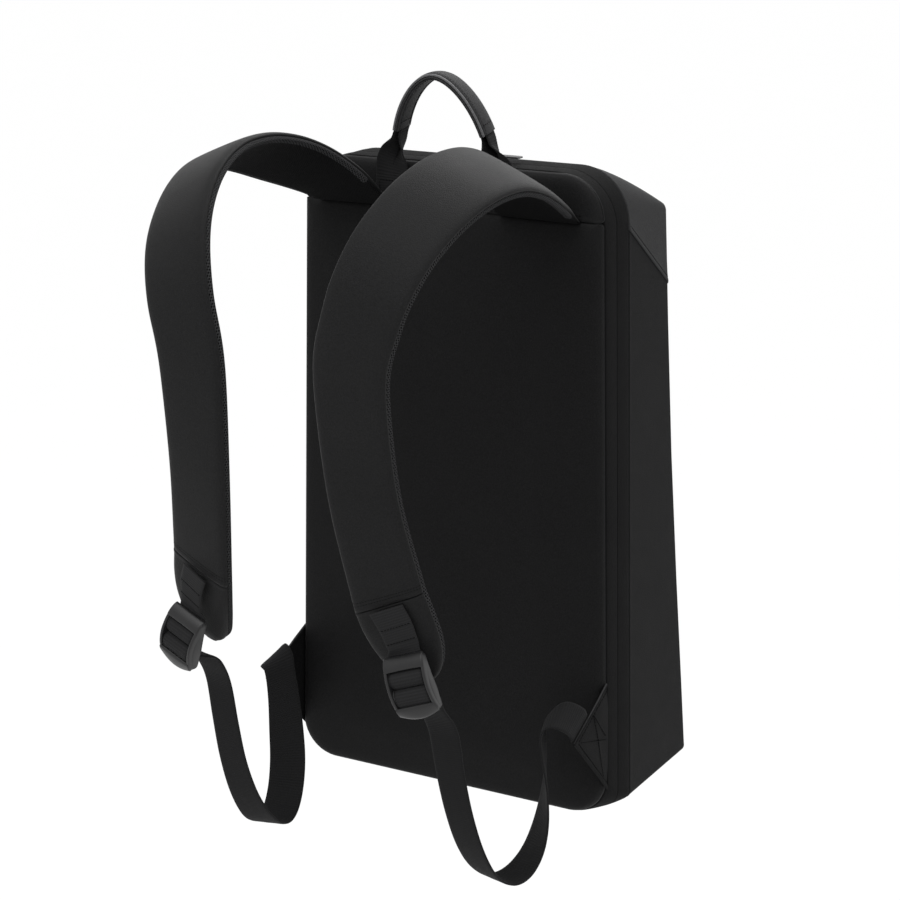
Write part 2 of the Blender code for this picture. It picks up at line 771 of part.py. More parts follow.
leg_rings = []
for i, (x, y, z, degrees) in enumerate(LEG_ROWS):
    before = Vector(LEG_ROWS[max(i - 1, 0)][:3])
    after = Vector(LEG_ROWS[min(i + 1, len(LEG_ROWS) - 1)][:3])
    way = -grip_ways[0] if i == 0 else (after - before).normalized()
    leg_rings.append(leg_ring(x, y, z, degrees, way))
both_sides("handle_web", leg_rings, "webbing")


# ------------------------------------------------------------ zip hardware
def block(low, high):
    bm = bmesh.new()
    bmesh.ops.create_cube(bm, size=1.0)
    low, high = Vector(low), Vector(high)
    for vert in bm.verts:
        vert.co = Vector(
            [(low[k] + high[k]) / 2 + vert.co[k] * (high[k] - low[k]) for k in range(3)]
        )
    return bm


slider = add_object(
    "zip_slider",
    block((SLIDER_X - 5.0, ZIP_Y - 3.6, SLIDER_BASE_Z), (SLIDER_X + 5.0, ZIP_Y + 3.6, SLIDER_BASE_Z + 1.5)),
    "slider_metal",
)
for cheek, offset in (("cheek_a", -2.95), ("cheek_b", 2.95)):
    lug = helper(
        cheek,
        block(
            (PULL_AXIS_X - 2.0, ZIP_Y + offset - 0.65, SLIDER_BASE_Z + 1.0),
            (PULL_AXIS_X + 2.0, ZIP_Y + offset + 0.65, PULL_AXIS_Z + 1.6),
        ),
    )
    boolean(slider, lug, "UNION")
pin = helper(
    "slider_pin",
    rod(
        Vector((PULL_AXIS_X, ZIP_Y - 3.0, PULL_AXIS_Z)),
        Vector((PULL_AXIS_X, ZIP_Y + 3.0, PULL_AXIS_Z)),
        0.75,
        16,
    ),
)
boolean(slider, pin, "UNION")

hinge = bpy.data.objects.new("puller_hinge", None)
hinge.location = Vector((PULL_AXIS_X, ZIP_Y, PULL_AXIS_Z)) * MM
scene.collection.objects.link(hinge)

puller = add_object(
    "zip_puller",
    rod(
        Vector((PULL_AXIS_X, ZIP_Y - 1.95, PULL_AXIS_Z)),
        Vector((PULL_AXIS_X, ZIP_Y + 1.95, PULL_AXIS_Z)),
        1.75,
        20,
    ),
    "slider_metal",
    (PULL_AXIS_X, ZIP_Y, PULL_AXIS_Z),
)
neck = helper(
    "puller_neck",
    block(
        (PULL_AXIS_X + 1.2, ZIP_Y - 1.8, PULL_AXIS_Z - PULL_THICK / 2),
        (PULL_AXIS_X + 5.0, ZIP_Y + 1.8, PULL_AXIS_Z + PULL_THICK / 2),
    ),
)
blade_bm = block(
    (PULL_AXIS_X + 4.4, ZIP_Y - PULL_WIDE / 2, PULL_AXIS_Z - PULL_THICK / 2 + 0.01),
    (PULL_AXIS_X + PULL_LENGTH, ZIP_Y + PULL_WIDE / 2, PULL_AXIS_Z + PULL_THICK / 2 - 0.01),
)
upright = [
    e
    for e in blade_bm.edges
    if abs(e.verts[0].co.z - e.verts[1].co.z) > PULL_THICK / 2
]
bmesh.ops.bevel(blade_bm, geom=upright, offset=1.6, segments=3, affect="EDGES")
blade = helper("puller_blade", blade_bm)
bore = helper(
    "puller_bore",
    rod(
        Vector((PULL_AXIS_X, ZIP_Y - 3.0, PULL_AXIS_Z)),
        Vector((PULL_AXIS_X, ZIP_Y + 3.0, PULL_AXIS_Z)),
        1.05,
        20,
    ),
)
boolean(puller, neck, "UNION")
boolean(puller, blade, "UNION")
boolean(puller, bore, "DIFFERENCE")
puller.parent = hinge
puller.location = (0.0, 0.0, 0.0)
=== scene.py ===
"""Looks of the laptop backpack: every cloth surface, strap, webbing, zip, lock
and handle as detailed meshes with procedural materials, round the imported
frame. Tables are in millimetres, objects in metres."""

import json
import math

import bpy
import numpy as np
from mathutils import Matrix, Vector

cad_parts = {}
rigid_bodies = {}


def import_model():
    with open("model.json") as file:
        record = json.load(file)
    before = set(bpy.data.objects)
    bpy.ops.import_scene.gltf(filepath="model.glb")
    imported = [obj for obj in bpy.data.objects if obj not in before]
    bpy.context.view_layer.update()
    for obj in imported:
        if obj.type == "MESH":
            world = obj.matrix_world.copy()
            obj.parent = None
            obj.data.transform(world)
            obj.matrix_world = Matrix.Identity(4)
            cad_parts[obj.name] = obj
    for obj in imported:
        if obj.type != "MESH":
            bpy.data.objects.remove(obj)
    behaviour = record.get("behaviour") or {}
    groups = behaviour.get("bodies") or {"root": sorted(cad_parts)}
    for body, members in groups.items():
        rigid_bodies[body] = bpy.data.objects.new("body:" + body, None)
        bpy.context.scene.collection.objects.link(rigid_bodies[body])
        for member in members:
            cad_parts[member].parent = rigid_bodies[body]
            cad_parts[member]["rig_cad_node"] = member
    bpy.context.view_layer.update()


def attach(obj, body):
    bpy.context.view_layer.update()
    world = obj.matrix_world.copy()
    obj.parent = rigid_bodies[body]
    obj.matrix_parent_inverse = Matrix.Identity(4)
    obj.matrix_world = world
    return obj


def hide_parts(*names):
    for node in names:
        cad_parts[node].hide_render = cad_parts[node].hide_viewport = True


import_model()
scene = bpy.context.scene
MM = 0.001

# ------------------------------------------------------------------- camera
AZIMUTH, PITCH = 0.513696558, 0.273611291
eye = Vector((0.781355, -1.368645, 0.180273))
ahead = Vector(
    (
        -math.sin(AZIMUTH) * math.cos(PITCH),
        math.cos(AZIMUTH) * math.cos(PITCH),
        -math.sin(PITCH),
    )
)
camera_data = bpy.data.cameras.new("camera")
camera_data.lens, camera_data.sensor_width = 92.10, 36.0
camera_data.clip_start, camera_data.clip_end = 0.02, 60.0
camera = bpy.data.objects.new("camera", camera_data)
camera.location = eye
camera.rotation_mode = "QUATERNION"
camera.rotation_quaternion = ahead.to_track_quat("-Z", "Y")
scene.collection.objects.link(camera)
scene.camera = camera

# -------------------------------------------------------------------- light
scene.view_settings.view_transform = "Standard"
scene.view_settings.look = "None"
world = bpy.data.worlds.new("studio")
world.use_nodes = True
world.node_tree.nodes["Background"].inputs["Color"].default_value = (1.0, 1.0, 1.0, 1.0)
world.node_tree.nodes["Background"].inputs["Strength"].default_value = 1.0
scene.world = world


def area_light(name, at, aim, size, size_y, watts):
    data = bpy.data.lights.new(name, "AREA")
    data.shape, data.size, data.size_y, data.energy = "RECTANGLE", size, size_y, watts
    lamp = bpy.data.objects.new(name, data)
    lamp.location = at
    way = Vector(aim) - Vector(at)
    lamp.rotation_mode = "QUATERNION"
    lamp.rotation_quaternion = way.to_track_quat("-Z", "Y")
    scene.collection.objects.link(lamp)
    return lamp


TOP_LIGHT_WATTS = 14.5
area_light("soft_top", (0.12, 0.85, 0.95), (0.0, 0.0, -0.2), 1.3, 0.9, TOP_LIGHT_WATTS)
area_light("soft_front_top", (0.05, -0.75, 1.25), (0.0, -0.1, -0.1), 1.5, 1.1, 16.0)

# ---------------------------------------------------------------- bag sizes
GAP = 0.3
TOP_Z, BASE_Z = -60.1, -523.8
HALF_TOP, HALF_BASE = 117.5, 128.5
SEAM_Y, ZIP_Y, SHELL_Y = 17.8, 35.9, 55.8
CORNER_R = 37.0
BASE_CORNERS = ((17.8, 29.0), (35.9, 14.0), (55.8, 5.0))  # y, radius
YOKE_Z = -91.7
FRONT_CORNER_R, FRONT_TOP_Z = 5.0, -92.8
FRONT_EDGE = (
    # z, y
    (-92.8, 119.9),
    (-180.0, 124.6),
    (-279.4, 131.4),
    (-380.0, 141.6),
    (-470.0, 152.0),
    (-523.8, 157.9),
)
SEAM_REAR, SEAM_FRONT = (55.8, -102.1), (122.8, -151.1)  # y, z
BACK_PAD = (
    # inset, proud
    (0.0, 0.0),
    (0.15, 1.1),
    (0.5, 2.3),
    (1.0, 3.5),
    (1.8, 4.7),
    (2.8, 5.8),
    (4.2, 6.8),
    (6.0, 7.6),
    (8.5, 8.25),
    (13.0, 8.8),
    (20.0, 9.2),
    (48.0, 9.9),
    (84.0, 10.3),
    (140.0, 10.4),
)
YOKE_PAD = (
    # inset, proud
    (0.0, 0.0),
    (0.15, 0.9),
    (0.5, 1.8),
    (1.0, 2.7),
    (1.8, 3.6),
    (2.8, 4.4),
    (4.2, 5.0),
    (6.0, 5.5),
    (8.5, 5.8),
    (13.0, 6.1),
    (40.0, 6.2),
)
STRAP_ROWS = (
    # along, inner x, y, z, outer x, y, z, thickness
    (-0.03, 41.6, 13.2, -91.7, 103.6, 13.2, -91.7, 0.22),
    (0.00, 42.2, 7.0, -89.4, 104.2, 8.3, -90.3, 0.62),
    (0.07, 47.0, -13.6, -69.3, 106.0, -3.9, -83.9, 1.0),
    (0.15, 53.3, -30.1, -55.4, 110.8, -22.7, -77.1, 1.0),
    (0.25, 59.7, -50.7, -43.1, 117.4, -48.2, -68.5, 1.0),
    (0.35, 64.6, -75.9, -34.5, 122.3, -77.3, -58.9, 1.0),
    (0.45, 67.0, -106.8, -30.4, 122.7, -108.7, -52.8, 1.0),
    (0.55, 65.7, -141.8, -33.6, 118.2, -141.6, -57.1, 1.0),
    (0.65, 59.8, -176.6, -49.1, 110.6, -173.9, -72.6, 1.0),
    (0.75, 49.9, -203.8, -78.5, 101.7, -199.6, -97.7, 1.0),
    (0.83, 41.0, -214.6, -113.8, 93.3, -210.3, -126.4, 1.0),
    (0.91, 33.6, -213.8, -169.1, 85.1, -210.0, -172.2, 1.0),
    (0.955, 38.3, -206.3, -240.8, 87.2, -200.3, -233.7, 1.0),
    (1.00, 48.2, -193.0, -315.2, 96.3, -186.1, -294.9, 1.0),
)
STRAP_END_ROWS = (
    # along, inner x, y, z, outer x, y, z, thickness
    (1.00, 48.2, -193.0, -315.2, 96.3, -186.1, -294.9, 1.0),
    (1.20, 51.4, -188.6, -329.0, 100.8, -181.0, -313.2, 1.0),
    (1.45, 57.2, -180.7, -345.5, 102.8, -174.2, -332.6, 1.0),
    (1.65, 63.4, -173.5, -356.6, 100.2, -168.9, -347.0, 1.0),
    (1.80, 70.4, -168.4, -362.7, 95.2, -165.2, -356.6, 0.94),
    (1.90, 77.6, -164.8, -365.6, 89.2, -163.4, -362.6, 0.7),
)
# Sections: share of the half width, millimetres off the middle of the strap.
PAD_SECTION = (
    # across, out
    (-0.88, 0.0),
    (-0.92, 0.0),
    (-0.940, 0.2),
    (-0.953, 0.6),
    (-0.960, 1.1),
    (-0.958, 1.7),
    (-0.946, 2.3),
    (-0.922, 2.9),
    (-0.885, 3.4),
    (-0.83, 3.9),
    (-0.74, 4.3),
    (-0.58, 4.6),
    (-0.38, 4.8),
    (-0.18, 4.88),
    (0.0, 4.9),
    (0.18, 4.88),
    (0.38, 4.8),
    (0.58, 4.6),
    (0.74, 4.3),
    (0.83, 3.9),
    (0.885, 3.4),
    (0.922, 2.9),
    (0.946, 2.3),
    (0.958, 1.7),
    (0.960, 1.1),
    (0.953, 0.6),
    (0.940, 0.2),
    (0.92, 0.0),
    (0.88, 0.0),
)
MESH_SECTION = (
    # across, out
    (-0.88, -0.05),
    (-0.935, 0.05),
    (-0.95, -0.1),
    (-0.968, -0.6),
    (-0.98, -1.4),
    (-0.988, -2.2),
    (-0.985, -2.9),
    (-0.962, -3.4),
    (-0.92, -3.65),
    (-0.8, -3.8),
    (-0.5, -4),
    (-0.2, -4.05),
    (0.2, -4.05),
    (0.5, -4),
    (0.8, -3.8),
    (0.92, -3.65),
    (0.962, -3.4),
    (0.985, -2.9),
    (0.988, -2.2),
    (0.98, -1.4),
    (0.968, -0.6),
    (0.95, -0.1),
    (0.935, 0.05),
    (0.88, -0.05),
)
WEB_THICK = 1.5
LOOP_ROWS = (
    # along, inner x, y, z, outer x, y, z
    (-0.145, 80.8, -187.5, -371.2, 100.2, -181.9, -364.5),
    (-0.11, 80.2, -179.0, -374.6, 100.4, -174.8, -369.6),
    (-0.05, 77.6, -167.6, -378.6, 98.4, -168.4, -376.6),
    (0.00, 76.2, -162.8, -385.0, 97.4, -163.6, -383.4),
    (0.07, 78.1, -151.6, -403.8, 99.9, -150.5, -402.5),
    (0.14, 79.0, -142.9, -436.5, 100.8, -142.7, -435.8),
    (0.21, 80.0, -132.8, -468.7, 102.2, -133.7, -468.2),
    (0.28, 80.5, -118.4, -498.8, 103.8, -120.8, -499.4),
    (0.35, 81.1, -100.2, -522.7, 105.6, -104.1, -524.6),
    (0.42, 83.3, -80.5, -537.4, 108.6, -85.5, -538.1),
    (0.49, 87.6, -60.6, -540.1, 112.4, -68.3, -537.9),
    (0.56, 92.6, -43.2, -529.8, 115.3, -55.9, -525.8),
    (0.63, 97.0, -32.2, -507.9, 116.4, -50.4, -506.0),
    (0.70, 101.1, -28.7, -480.0, 115.8, -51.2, -481.4),
    (0.77, 103.9, -30.1, -452.6, 113.3, -55.2, -456.1),
    (0.83, 104.4, -33.4, -435.8, 113.0, -57.8, -438.0),
    (0.88, 108.2, -28.9, -428.2, 116.6, -55.6, -431.0),
    (0.92, 113.2, -25.9, -423.4, 120.4, -53.0, -431.0),
    (0.96, 120.0, -21.6, -423.4, 124.4, -47.4, -434.6),
    (0.985, 126.0, -15.0, -429.3, 127.0, -39.0, -441.4),
    (1.00, 128.4, -11.8, -434.4, 128.8, -36.0, -446.7),
)
LOCK_WEB_ROWS = (
    # along, inner x, y, z, outer x, y, z
    (0.0, 61.9, -200.2, -310.4, 82.9, -194.3, -301.5),
    (0.4, 68.6, -196.2, -324.2, 89.0, -190.6, -315.7),
    (0.75, 72.6, -192.6, -337.0, 91.9, -187.2, -329.3),
)
LOCK_TOP = np.array((82.7, -191.3, -340.0))
LOCK_ACROSS = np.array((26.1, 4.4, 9.0))
LOCK_ACROSS = LOCK_ACROSS / np.linalg.norm(LOCK_ACROSS)
LOCK_DOWN_AIM = np.array((12.4, 0.1, -37.4))
LOCK_DOWN = LOCK_DOWN_AIM - LOCK_ACROSS * (LOCK_DOWN_AIM @ LOCK_ACROSS)
LOCK_DOWN = LOCK_DOWN / np.linalg.norm(LOCK_DOWN)
LOCK_OUT = np.cross(LOCK_DOWN, LOCK_ACROSS)
LOCK_OUT = LOCK_OUT / np.linalg.norm(LOCK_OUT)
LOCK_HALF, LOCK_RAIL = 14.4, 2.3
LOCK_ROWS = (
    # down, out (front face), thickness of the rail
    (0.0, 0.4, 3.6),
    (2.6, 2.8, 6.2),
    (7.0, 4.9, 8.6),
    (13.0, 6.6, 11.0),
    (19.0, 7.2, 12.4),
    (25.0, 6.5, 12.4),
    (31.0, 4.6, 10.8),
    (36.5, 1.2, 7.2),
    (40.0, -1.4, 3.6),
)
LOCK_BAR = (19.2, -2.0, 1.4)  # down, out, radius
LOCK_WEB_PATH = (
    # down, out
    (-2.0, -2.8),
    (3.0, -2.4),
    (6.4, -0.4),
    (8.2, 1.8),
    (10.4, 4.0),
    (13.0, 5.1),
    (15.8, 4.8),
    (18.0, 3.2),
    (19.0, 1.0),
)
LOOP_LOCK_PATH = (
    # down, out
    (19.5, 0.8),
    (20.4, 3.0),
    (22.4, 4.7),
    (25.0, 5.0),
    (27.8, 4.5),
    (30.4, 3.0),
    (32.2, 1.1),
    (33.6, -0.7),
    (34.6, -2.8),
)
TAB_THICK = 2.4
TAB_TOP, TAB_TIP, TAB_FOOT = (17.2, -420.8), (-36.4, -447.8), (17.2, -501.8)  # y, z
GRIP_HALF_X, GRIP_RISE, GRIP_POWER = 38.1, 65.7, 1.25
GRIP_CENTRE_Z = -63.2
GRIP_END_ANGLE = 0.432
GRIP_LEAN = 0.2092
GRIP_WIDE, GRIP_THICK = 17.0, 5.0
HANDLE_WEB_HALF = 12.6
LEG_ROWS = (
    # x, y, z of the fold, opening in degrees
    (33.2, 14.6, -34.9, 4.0),
    (34.4, 14.8, -37.9, 5.0),
    (36.2, 15.0, -45.0, 12.0),
    (38.0, 14.6, -50.0, 27.0),
    (40.4, 13.6, -56.0, 50.0),
    (42.0, 12.0, -61.5, 70.0),
    (43.0, 10.9, -67.0, 84.0),
    (43.4, 10.4, -73.0, 90.0),
    (43.5, 10.3, -80.0, 90.0),
    (43.5, 10.8, -86.6, 90.0),
)
SLIDER_X, SLIDER_BASE_Z = 14.0, -58.6
PULL_AXIS_X, PULL_AXIS_Z = 15.8, -54.9
PULL_LENGTH, PULL_WIDE, PULL_THICK = 29.8, 7.0, 1.3


# ---------------------------------------------------------------- materials
class Nodes:
    """Adds nodes to a material and links them."""

    def __init__(self, name):
        self.mat = bpy.data.materials.new(name)
        self.mat.use_nodes = True
        self.tree = self.mat.node_tree
        self.shader = self.tree.nodes["Principled BSDF"]
        self.coords = self.tree.nodes.new("ShaderNodeTexCoord")

    def add(self, kind, **values):
        node = self.tree.nodes.new(kind)
        for key, value in values.items():
            setattr(node, key, value)
        return node

    def link(self, out, into):
        self.tree.links.new(out, into)

    def noise(self, scale, detail, rough, vector=None):
        node = self.add("ShaderNodeTexNoise")
        node.inputs["Scale"].default_value = scale
        node.inputs["Detail"].default_value = detail
        node.inputs["Roughness"].default_value = rough
        self.link(vector or self.coords.outputs["Object"], node.inputs["Vector"])
        return node.outputs["Fac"]

    def math(self, operation, a, b=0.0, c=0.0):
        node = self.add("ShaderNodeMath", operation=operation)
        for socket, value in zip(node.inputs, (a, b, c)):
            if isinstance(value, (int, float)):
                socket.default_value = value
            else:
                self.link(value, socket)
        return node.outputs[0]

    def spread(self, value, low, high):
        """Maps 0..1 onto low..high."""
        return self.math("MULTIPLY_ADD", value, high - low, low)

    def grey(self, value, base, tint=(1.0, 1.0, 1.03)):
        """A colour that is base times the value."""
        node = self.add("ShaderNodeCombineColor")
        for k in range(3):
            self.link(self.math("MULTIPLY", value, base * tint[k]), node.inputs[k])
        return node.outputs[0]

    def bump(self, height, strength, distance, below=None):
        node = self.add("ShaderNodeBump")
        node.inputs["Strength"].default_value = strength
        node.inputs["Distance"].default_value = distance
        self.link(height, node.inputs["Height"])
        if below is not None:
            self.link(below, node.inputs["Normal"])
        return node.outputs["Normal"]

    def finish(self, colour, rough, normal, sheen=0.0, sheen_rough=0.4, specular=0.5, metallic=0.0):
        s = self.shader.inputs
        self.link(colour, s["Base Color"])
        self.link(rough, s["Roughness"])
        self.link(normal, s["Normal"])
        s["Sheen Weight"].default_value = sheen
        s["Sheen Roughness"].default_value = sheen_rough
        s["Sheen Tint"].default_value = (1.0, 1.0, 1.0, 1.0)
        s["Specular IOR Level"].default_value = specular
        s["Metallic"].default_value = metallic
        return self.mat


def cloth_material(name, base, rough, sheen, specular, grain=1.0):
    """Matt black cloth with a very fine pebbled grain, a painted highlight on convex edges and painted shade in
    hollows.
    """
    n = Nodes(name)
    fine = n.noise(1500.0, 2.0, 0.6)
    speck = n.noise(1250.0, 2.0, 0.8)
    pebble = n.add("ShaderNodeTexVoronoi", feature="F1")
    pebble.inputs["Scale"].default_value = 1150.0
    n.link(n.coords.outputs["Object"], pebble.inputs["Vector"])
    broad = n.noise(11.0, 3.0, 0.5)
    rubbed = n.noise(60.0, 4.0, 0.65)
    value = n.math("MULTIPLY", n.spread(fine, 0.45, 1.55), n.spread(speck, 0.0, 2.0))
    value = n.math("MULTIPLY", value, n.spread(broad, 0.86, 1.14))
    value = n.math("MULTIPLY", value, n.spread(rubbed, 0.9, 1.1))
    geometry = n.add("ShaderNodeNewGeometry")
    # painted highlight and painted shade: convex edges are painted a little lighter, hollows and creases a little
    # darker
    edge = n.math("MULTIPLY", n.math("SUBTRACT", geometry.outputs["Pointiness"], 0.5), 2.2)
    value = n.math("ADD", value, n.math("MINIMUM", n.math("MAXIMUM", edge, -0.25), 0.35))
    height = n.math("ADD", n.math("MULTIPLY", pebble.outputs["Distance"], 0.7), n.math("ADD", fine, n.math("MULTIPLY", speck, 1.6)))
    normal = n.bump(height, 0.36 * grain, 0.0004)
    normal = n.bump(broad, 0.12, 0.004, normal)
    roughness = n.spread(rubbed, rough - 0.05, rough + 0.07)
    return n.finish(n.grey(value, base), roughness, normal, sheen, 0.35, specular)


def webbing_material(name, base, rough, sheen, specular):
    """Woven tape: fine warp yarns along it, crossed by the ribs of the mesh."""
    n = Nodes(name)
    split = n.add("ShaderNodeSeparateXYZ")
    n.link(n.coords.outputs["UV"], split.inputs[0])
    across = n.math("MULTIPLY", split.outputs["X"], 2 * math.pi * 100 / 1.05)
    along = n.math("MULTIPLY", split.outputs["Y"], 2 * math.pi * 100 / 1.8)
    twill = n.math("SINE", n.math("ADD", across, n.math("MULTIPLY", along, 0.5)))
    cross = n.math("SINE", along)
    weave = n.math("MULTIPLY", n.math("ADD", n.math("MULTIPLY", twill, 0.6), cross), 0.5)
    fibre = n.noise(2600.0, 3.0, 0.7)
    value = n.math("ADD", n.spread(fibre, 0.55, 1.35), n.math("MULTIPLY", weave, 0.22))
    height = n.math("ADD", n.math("MULTIPLY", weave, 0.8), n.math("MULTIPLY", fibre, 0.6))
    normal = n.bump(height, 0.42, 0.0004)
    roughness = n.spread(fibre, rough - 0.05, rough + 0.08)
    return n.finish(n.grey(value, base), roughness, normal, sheen, 0.45, specular)


def mesh_material(name, base, low=0.12, cell=1.22):
    """Knitted spacer cloth: staggered rows of small holes."""
    n = Nodes(name)
    split = n.add("ShaderNodeSeparateXYZ")
    n.link(n.coords.outputs["UV"], split.inputs[0])
    joined = n.add("ShaderNodeCombineXYZ")
    n.link(
        n.math("ADD", split.outputs["X"], n.math("MULTIPLY", split.outputs["Y"], 0.5)),
        joined.inputs[0],
    )
    n.link(split.outputs["Y"], joined.inputs[1])
    cells = n.add("ShaderNodeTexVoronoi", feature="F1")
    cells.inputs["Scale"].default_value = 100 / cell
    cells.inputs["Randomness"].default_value = 0.12
    n.link(joined.outputs[0], cells.inputs["Vector"])
    hole = n.add("ShaderNodeMapRange", interpolation_type="SMOOTHSTEP")
    hole.inputs["From Min"].default_value = 0.26
    hole.inputs["From Max"].default_value = 0.40
    n.link(cells.outputs["Distance"], hole.inputs["Value"])
    fibre = n.noise(2400.0, 2.0, 0.6)
    value = n.math("MULTIPLY", n.spread(hole.outputs[0], low, 1.2), n.spread(fibre, 0.7, 1.3))
    height = n.math("ADD", hole.outputs[0], n.math("MULTIPLY", fibre, 0.2))
    normal = n.bump(height, 0.75, 0.0005)
    return n.finish(n.grey(value, base), n.spread(fibre, 0.75, 0.9), normal, 0.0, 0.5, 0.025)


def hard_material(name, base, rough, specular, metallic, edge_highlight_gain):
    """Painted metal with a faint orange peel and a painted highlight that lightens convex edges."""
    n = Nodes(name)
    peel = n.noise(900.0, 2.0, 0.5)
    smear = n.noise(90.0, 4.0, 0.7)
    geometry = n.add("ShaderNodeNewGeometry")
    # painted highlight: convex edges are lightened by their pointiness
    edge = n.math("MULTIPLY", n.math("SUBTRACT", geometry.outputs["Pointiness"], 0.5), edge_highlight_gain)
    value = n.math("ADD", n.spread(smear, 0.8, 1.2), n.math("MAXIMUM", edge, 0.0))
    normal = n.bump(peel, 0.10, 0.0003)
    return n.finish(
        n.grey(value, base), n.spread(smear, rough - 0.06, rough + 0.08), normal, 0.0, 0.3, specular, metallic
    )


MATS = {
    "panel": cloth_material("panel_fabric_grain", 0.0062, 0.62, 0.03, 0.075),
    "yoke": cloth_material("yoke_fabric_grain", 0.0070, 0.60, 0.04, 0.08),
    "gusset": cloth_material("gusset_fabric_grain", 0.0055, 0.60, 0.0, 0.018),
    "shell": cloth_material("shell_fabric_grain", 0.0090, 0.58, 0.0, 0.030),
    # a lighter copy of the shell cloth for the upper half: painted light on its up-facing cap
    "shell_top": cloth_material("shell_fabric_upper_painted_light", 0.0220, 0.56, 0.0, 0.055),
    "strap": cloth_material("strap_fabric_grain", 0.0082, 0.56, 0.05, 0.090),
    # a lighter copy of the black cloth for the grip: painted light standing in for its top-lit surface
    "grip": cloth_material("grip_fabric_grain_painted_light", 0.0235, 0.52, 0.04, 0.060),
    "tab": cloth_material("tab_fabric_grain", 0.0065, 0.60, 0.0, 0.028),
    "webbing": webbing_material("webbing_weave", 0.0125, 0.70, 0.02, 0.035),
    # a lighter copy of the webbing: painted light
    "webbing_lit": webbing_material("webbing_weave_painted_light", 0.0175, 0.68, 0.02, 0.045),
    "mesh": mesh_material("spacer_mesh_knit", 0.0060),
    # a lighter copy of the spacer mesh for the side strips: painted light, the underside keeps the darker copy
    "mesh_edge": mesh_material("spacer_mesh_edge_painted_light", 0.0270, 0.0, 1.7),
    # a much lighter copy of the cloth: painted highlight along the grip's corded edges
    "cord": cloth_material("grip_edge_cord_painted_highlight", 0.0700, 0.40, 0.05, 0.30, 0.6),
    # a lighter copy of the tab cloth for its folded edge: painted highlight
    "hem": cloth_material("tab_hem_edge_painted_highlight", 0.0240, 0.55, 0.02, 0.06),
    "thread": cloth_material("sewing_thread", 0.0022, 0.60, 0.0, 0.012, 0.5),
    "coil": hard_material("zip_coil_nylon", 0.0060, 0.45, 0.10, 0.0, 0.6),
    "lock": hard_material("lock_metal_coat", 0.0112, 0.36, 0.30, 0.0, 1.2),
    "slider": hard_material("slider_metal_coat", 0.0300, 0.34, 0.50, 0.35, 1.5),
}


# -------------------------------------------------------------- mesh makers
def unit(v):
    return v / np.maximum(np.linalg.norm(v, axis=-1, keepdims=True), 1e-9)


